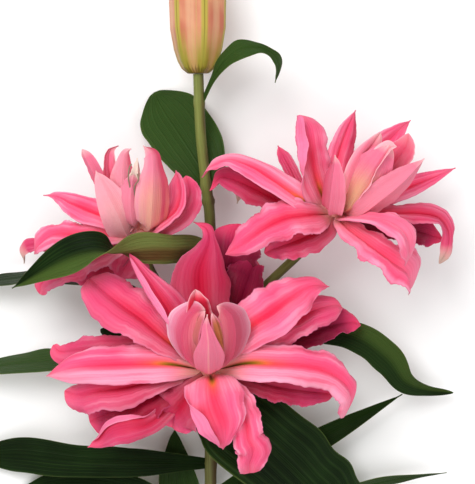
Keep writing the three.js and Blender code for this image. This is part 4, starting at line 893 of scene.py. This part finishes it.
def stalk_material(name):
    n = Nodes(name)
    along, side, turn = n.attributes("along", "across", "under")
    round_it = n.times(turn, 2 * math.pi)
    ring = [n.times(n.maths(kind, round_it), 4) for kind in ("SINE", "COSINE")]
    streaks = n.noise(n.join(*ring, n.times(along, 9)), 1, 5, 0.65)
    blotch = n.noise(n.place(), 60, 3)
    base = n.mix(n.fade(along, 0.3, 0.75), (88, 84, 46), (102, 110, 48))
    base = n.mix(n.fade(streaks, 0.35, 0.7, 0, 0.55), base, (134, 140, 76))
    # Darker and browner towards the stalk's right side, less so near its top.
    darker_right_side = n.times(n.fade(side, -0.4, 2.6), n.fade(blotch, 0.3, 0.65, 0.6, 1))
    base = n.mix(n.times(darker_right_side, n.fade(along, 0.86, 0.8, 0.75, 0.95)), base, (66, 48, 28))
    normal = n.bump(streaks, 0.5, 0.0006)
    normal = n.bump(n.noise(n.place(), 900, 2), 0.2, 0.0002, normal)
    return n.finish(base, n.fade(blotch, 0.3, 0.7, 0.42, 0.58), normal, Specular_IOR_Level=0.2,
                    Subsurface_Weight=0.03, Subsurface_Scale=0.002)


def bud_material(name):
    n = Nodes(name)
    along, turn = n.attributes("along", "under")
    wave = n.times(n.maths("SUBTRACT", turn, BUD_RIB_TURN / 360), 2 * math.pi * BUD_RIBS)
    wave = n.maths("COSINE", wave)
    streaks = n.noise(n.join(n.times(turn, 60), n.times(along, 3), 0), 1, 4, 0.6)
    cloud = n.noise(n.place(), 45, 2)
    base = n.mix(n.fade(cloud, 0.3, 0.7), (184, 106, 82), (204, 142, 106))
    base = n.mix(n.fade(wave, -0.2, -1, 0, 0.5), base, (212, 170, 132))
    base = n.mix(n.fade(streaks, 0.45, 0.8, 0, 0.5), base, (182, 100, 88))
    base = n.mix(n.fade(wave, 0.55, 0.95, 0, 0.9), base, (170, 160, 64))
    base = n.mix(n.fade(wave, 0.985, 1, 0, 0.7), base, (116, 104, 34))
    foot = n.plus(along, n.fade(streaks, 0.2, 0.8, -0.05, 0.05))
    green = n.times(n.fade(foot, 0.34, 0.03), n.fade(wave, -1, 0.5, 0.55, 1))
    base = n.mix(green, base, (140, 132, 42))
    base = n.mix(n.fade(foot, 0.05, 0, 0, 0.7), base, (74, 58, 18))
    base = n.mix(n.fade(along, 0.8, 1, 0, 0.8), base, (150, 156, 76))
    relief = n.plus(n.times(streaks, 0.6), n.fade(wave, 0.9, 1, 0, -0.7))
    normal = n.bump(relief, 0.3, 0.0005)
    normal = n.bump(n.noise(n.place(), 800, 2), 0.2, 0.0002, normal)
    return n.finish(base, n.fade(streaks, 0.2, 0.8, 0.4, 0.52), normal, Subsurface_Weight=0.08,
                    Subsurface_Scale=0.003, Specular_IOR_Level=0.2)


def floor_material(name):
    n = Nodes(name)
    base = n.mix(n.noise(n.place(), 3), (242, 242, 242), (245, 245, 244))
    return n.finish(base, 0.8, n.bump(n.noise(n.place(), 400), 0.05, 0.0003))


# Blooms, leaves, stalk and bud
petals_pink = petal_material("petals_pink", PINK)
petals_blush = petal_material("petals_blush", BLUSH)
blooms = (
    ("front", FRONT, FRONT_PETALS, FRONT_HEART, []),
    ("right", RIGHT, RIGHT_PETALS, RIGHT_HEART, []),
    ("left", LEFT, LEFT_PETALS, LEFT_HEART, LEFT_THREADS),
)
for side, bloom, petals, heart, threads in blooms:
    outer = whorl(bloom, petals, OUTER)
    outer.make(f"petals_of_{side}_bloom", petals_pink, f"bloom_{side}_petals", "petals")
    inner = whorl(bloom, heart, HEART)
    for thread in threads:
        inner.add_rod(thread, lambda u, angle, point: THREAD_RADIUS, *THREAD_GRID, paint=1, dark=0.8)
    inner.make(f"heart_of_{side}_bloom", petals_blush, f"bloom_{side}_heart", "heart")

leaf_green = leaf_material("leaf_green")
for index, (leaf_name, (face, shape, stations)) in enumerate(LEAVES.items()):
    leaf = Mesh()
    shape = {"bulge": 0.04, "groove": 0.5, "frill": 0, **shape}
    sheet = blade(stations, face, LEAF_GRID, LEAF_THICK, phase=index * LEAF_PHASE_STEP, **shape)
    look = {k: shape.get(k, 0) for k in ("tone", "rust", "lit")}
    leaf.add_blade(sheet, seed=(index * LEAF_SEED_STEP) % 1, **look)
    leaf.make(leaf_name.replace("leaf", "blade", 1), leaf_green, leaf_name, "leaf")


def stalk_radius(u, angle, point):
    radius = STALK_RADIUS_LOW + (STALK_RADIUS_HIGH - STALK_RADIUS_LOW) * u
    swell = sum(JOINT_SWELL * math.exp(-(((point[1] - y) / JOINT_REACH) ** 2)) for y in STALK_JOINTS)
    scar = SCAR_SWELL * math.exp(-(((point[1] - OLD_SCAR) / SCAR_REACH) ** 2))
    return radius + min(swell, JOINT_LIMIT) + scar + STALK_RIB * math.cos(5 * angle + 2 * u)


def shoot_radius(u, angle, point):
    return SHOOT_RADIUS + SHOOT_FLARE * u**6 + SHOOT_RIB * math.cos(4 * angle)


def bud_radius(u, angle, point):
    heights, radii = zip(*BUD_PROFILE)
    radius = float(np.interp(u * BUD_LENGTH, heights, radii))
    rib = math.cos(BUD_RIBS * (angle - math.radians(BUD_RIB_TURN)))
    return radius + BUD_RIB_HEIGHT * rib * min(1, radius / BUD_RIB_FADE)


stem = Mesh()
stem.add_rod(STALK, stalk_radius, *STALK_GRID)
for bloom in (FRONT, LEFT, RIGHT):
    axis = unit(bloom["axis"])
    seat = np.array(bloom["at"]) - axis * (OUTER["seat"] * OUTER["long"] + GAP)
    route = [*bloom["shoot"], tuple(seat - axis * SHOOT_STRAIGHT), tuple(seat)]
    stem.add_rod(route, shoot_radius, *SHOOT_GRID)
stem.make("stalk_and_shoots", stalk_material("stalk_green"), "stalk", "stalk")

bud = Mesh()
bud_middle = tuple((a + b) / 2 for a, b in zip(BUD_FOOT, BUD_TIP))
bud.add_rod([BUD_FOOT, bud_middle, BUD_TIP], bud_radius, *BUD_GRID)
bud.make("closed_bud", bud_material("bud_salmon"), "bud", "bud")

# Floor, in metres
FLOOR_CORNERS = [(-4, -4, 0), (4, -4, 0), (4, 4, 0), (-4, 4, 0)]
floor_mesh = bpy.data.meshes.new("floor")
floor_mesh.from_pydata(FLOOR_CORNERS, [], [(0, 1, 2, 3)])
floor_mesh.materials.append(floor_material("floor_paint"))
floor = bpy.data.objects.new("floor", floor_mesh)
bpy.context.scene.collection.objects.link(floor)

# Light: a lamp is its name, place, power in watts and size, in metres
SKY_STRENGTH = 0.6
LAMP_TARGET = Vector((0, 0.05, 0.05))
LAMPS = (("key", (-0.4, 0.6, 1.2), 13.5, 0.8), ("fill", (0.25, -0.6, 1.2), 6, 1))
world = bpy.data.worlds.new("studio")
bpy.context.scene.world = world
world.use_nodes = True
world.node_tree.nodes["Background"].inputs[0].default_value = (1, 1, 1, 1)
world.node_tree.nodes["Background"].inputs[1].default_value = SKY_STRENGTH
for name, place, power, size in LAMPS:
    lamp = bpy.data.lights.new(name, "AREA")
    lamp.energy, lamp.size = power, size
    holder = bpy.data.objects.new(name, lamp)
    holder.location = place
    holder.rotation_euler = (LAMP_TARGET - Vector(place)).to_track_quat("-Z", "Y").to_euler()
    bpy.context.scene.collection.objects.link(holder)

# Camera, straight above. A photo's pixel is PIXEL mm at AIM_HEIGHT, and ORIGIN_PIXEL is where x and y are 0.
LENS, SENSOR = 135, 36
PIXEL = 0.62
ORIGIN_PIXEL = (208, 372)
PHOTO = (475, 484)
AIM_HEIGHT = 60
CLIP_END = 20
camera = bpy.data.cameras.new("camera")
camera.lens, camera.sensor_width, camera.clip_end = LENS, SENSOR, CLIP_END
view = bpy.data.objects.new("camera", camera)
view.location = (
    ((PHOTO[0] / 2 - ORIGIN_PIXEL[0]) * PIXEL + SHIFT[0]) * MM,
    ((ORIGIN_PIXEL[1] - PHOTO[1] / 2) * PIXEL + SHIFT[1]) * MM,
    (AIM_HEIGHT + PIXEL * PHOTO[1] / SENSOR * LENS) * MM,
)
bpy.context.scene.collection.objects.link(view)
bpy.context.scene.camera = view
bpy.context.scene.view_settings.view_transform = "Standard"
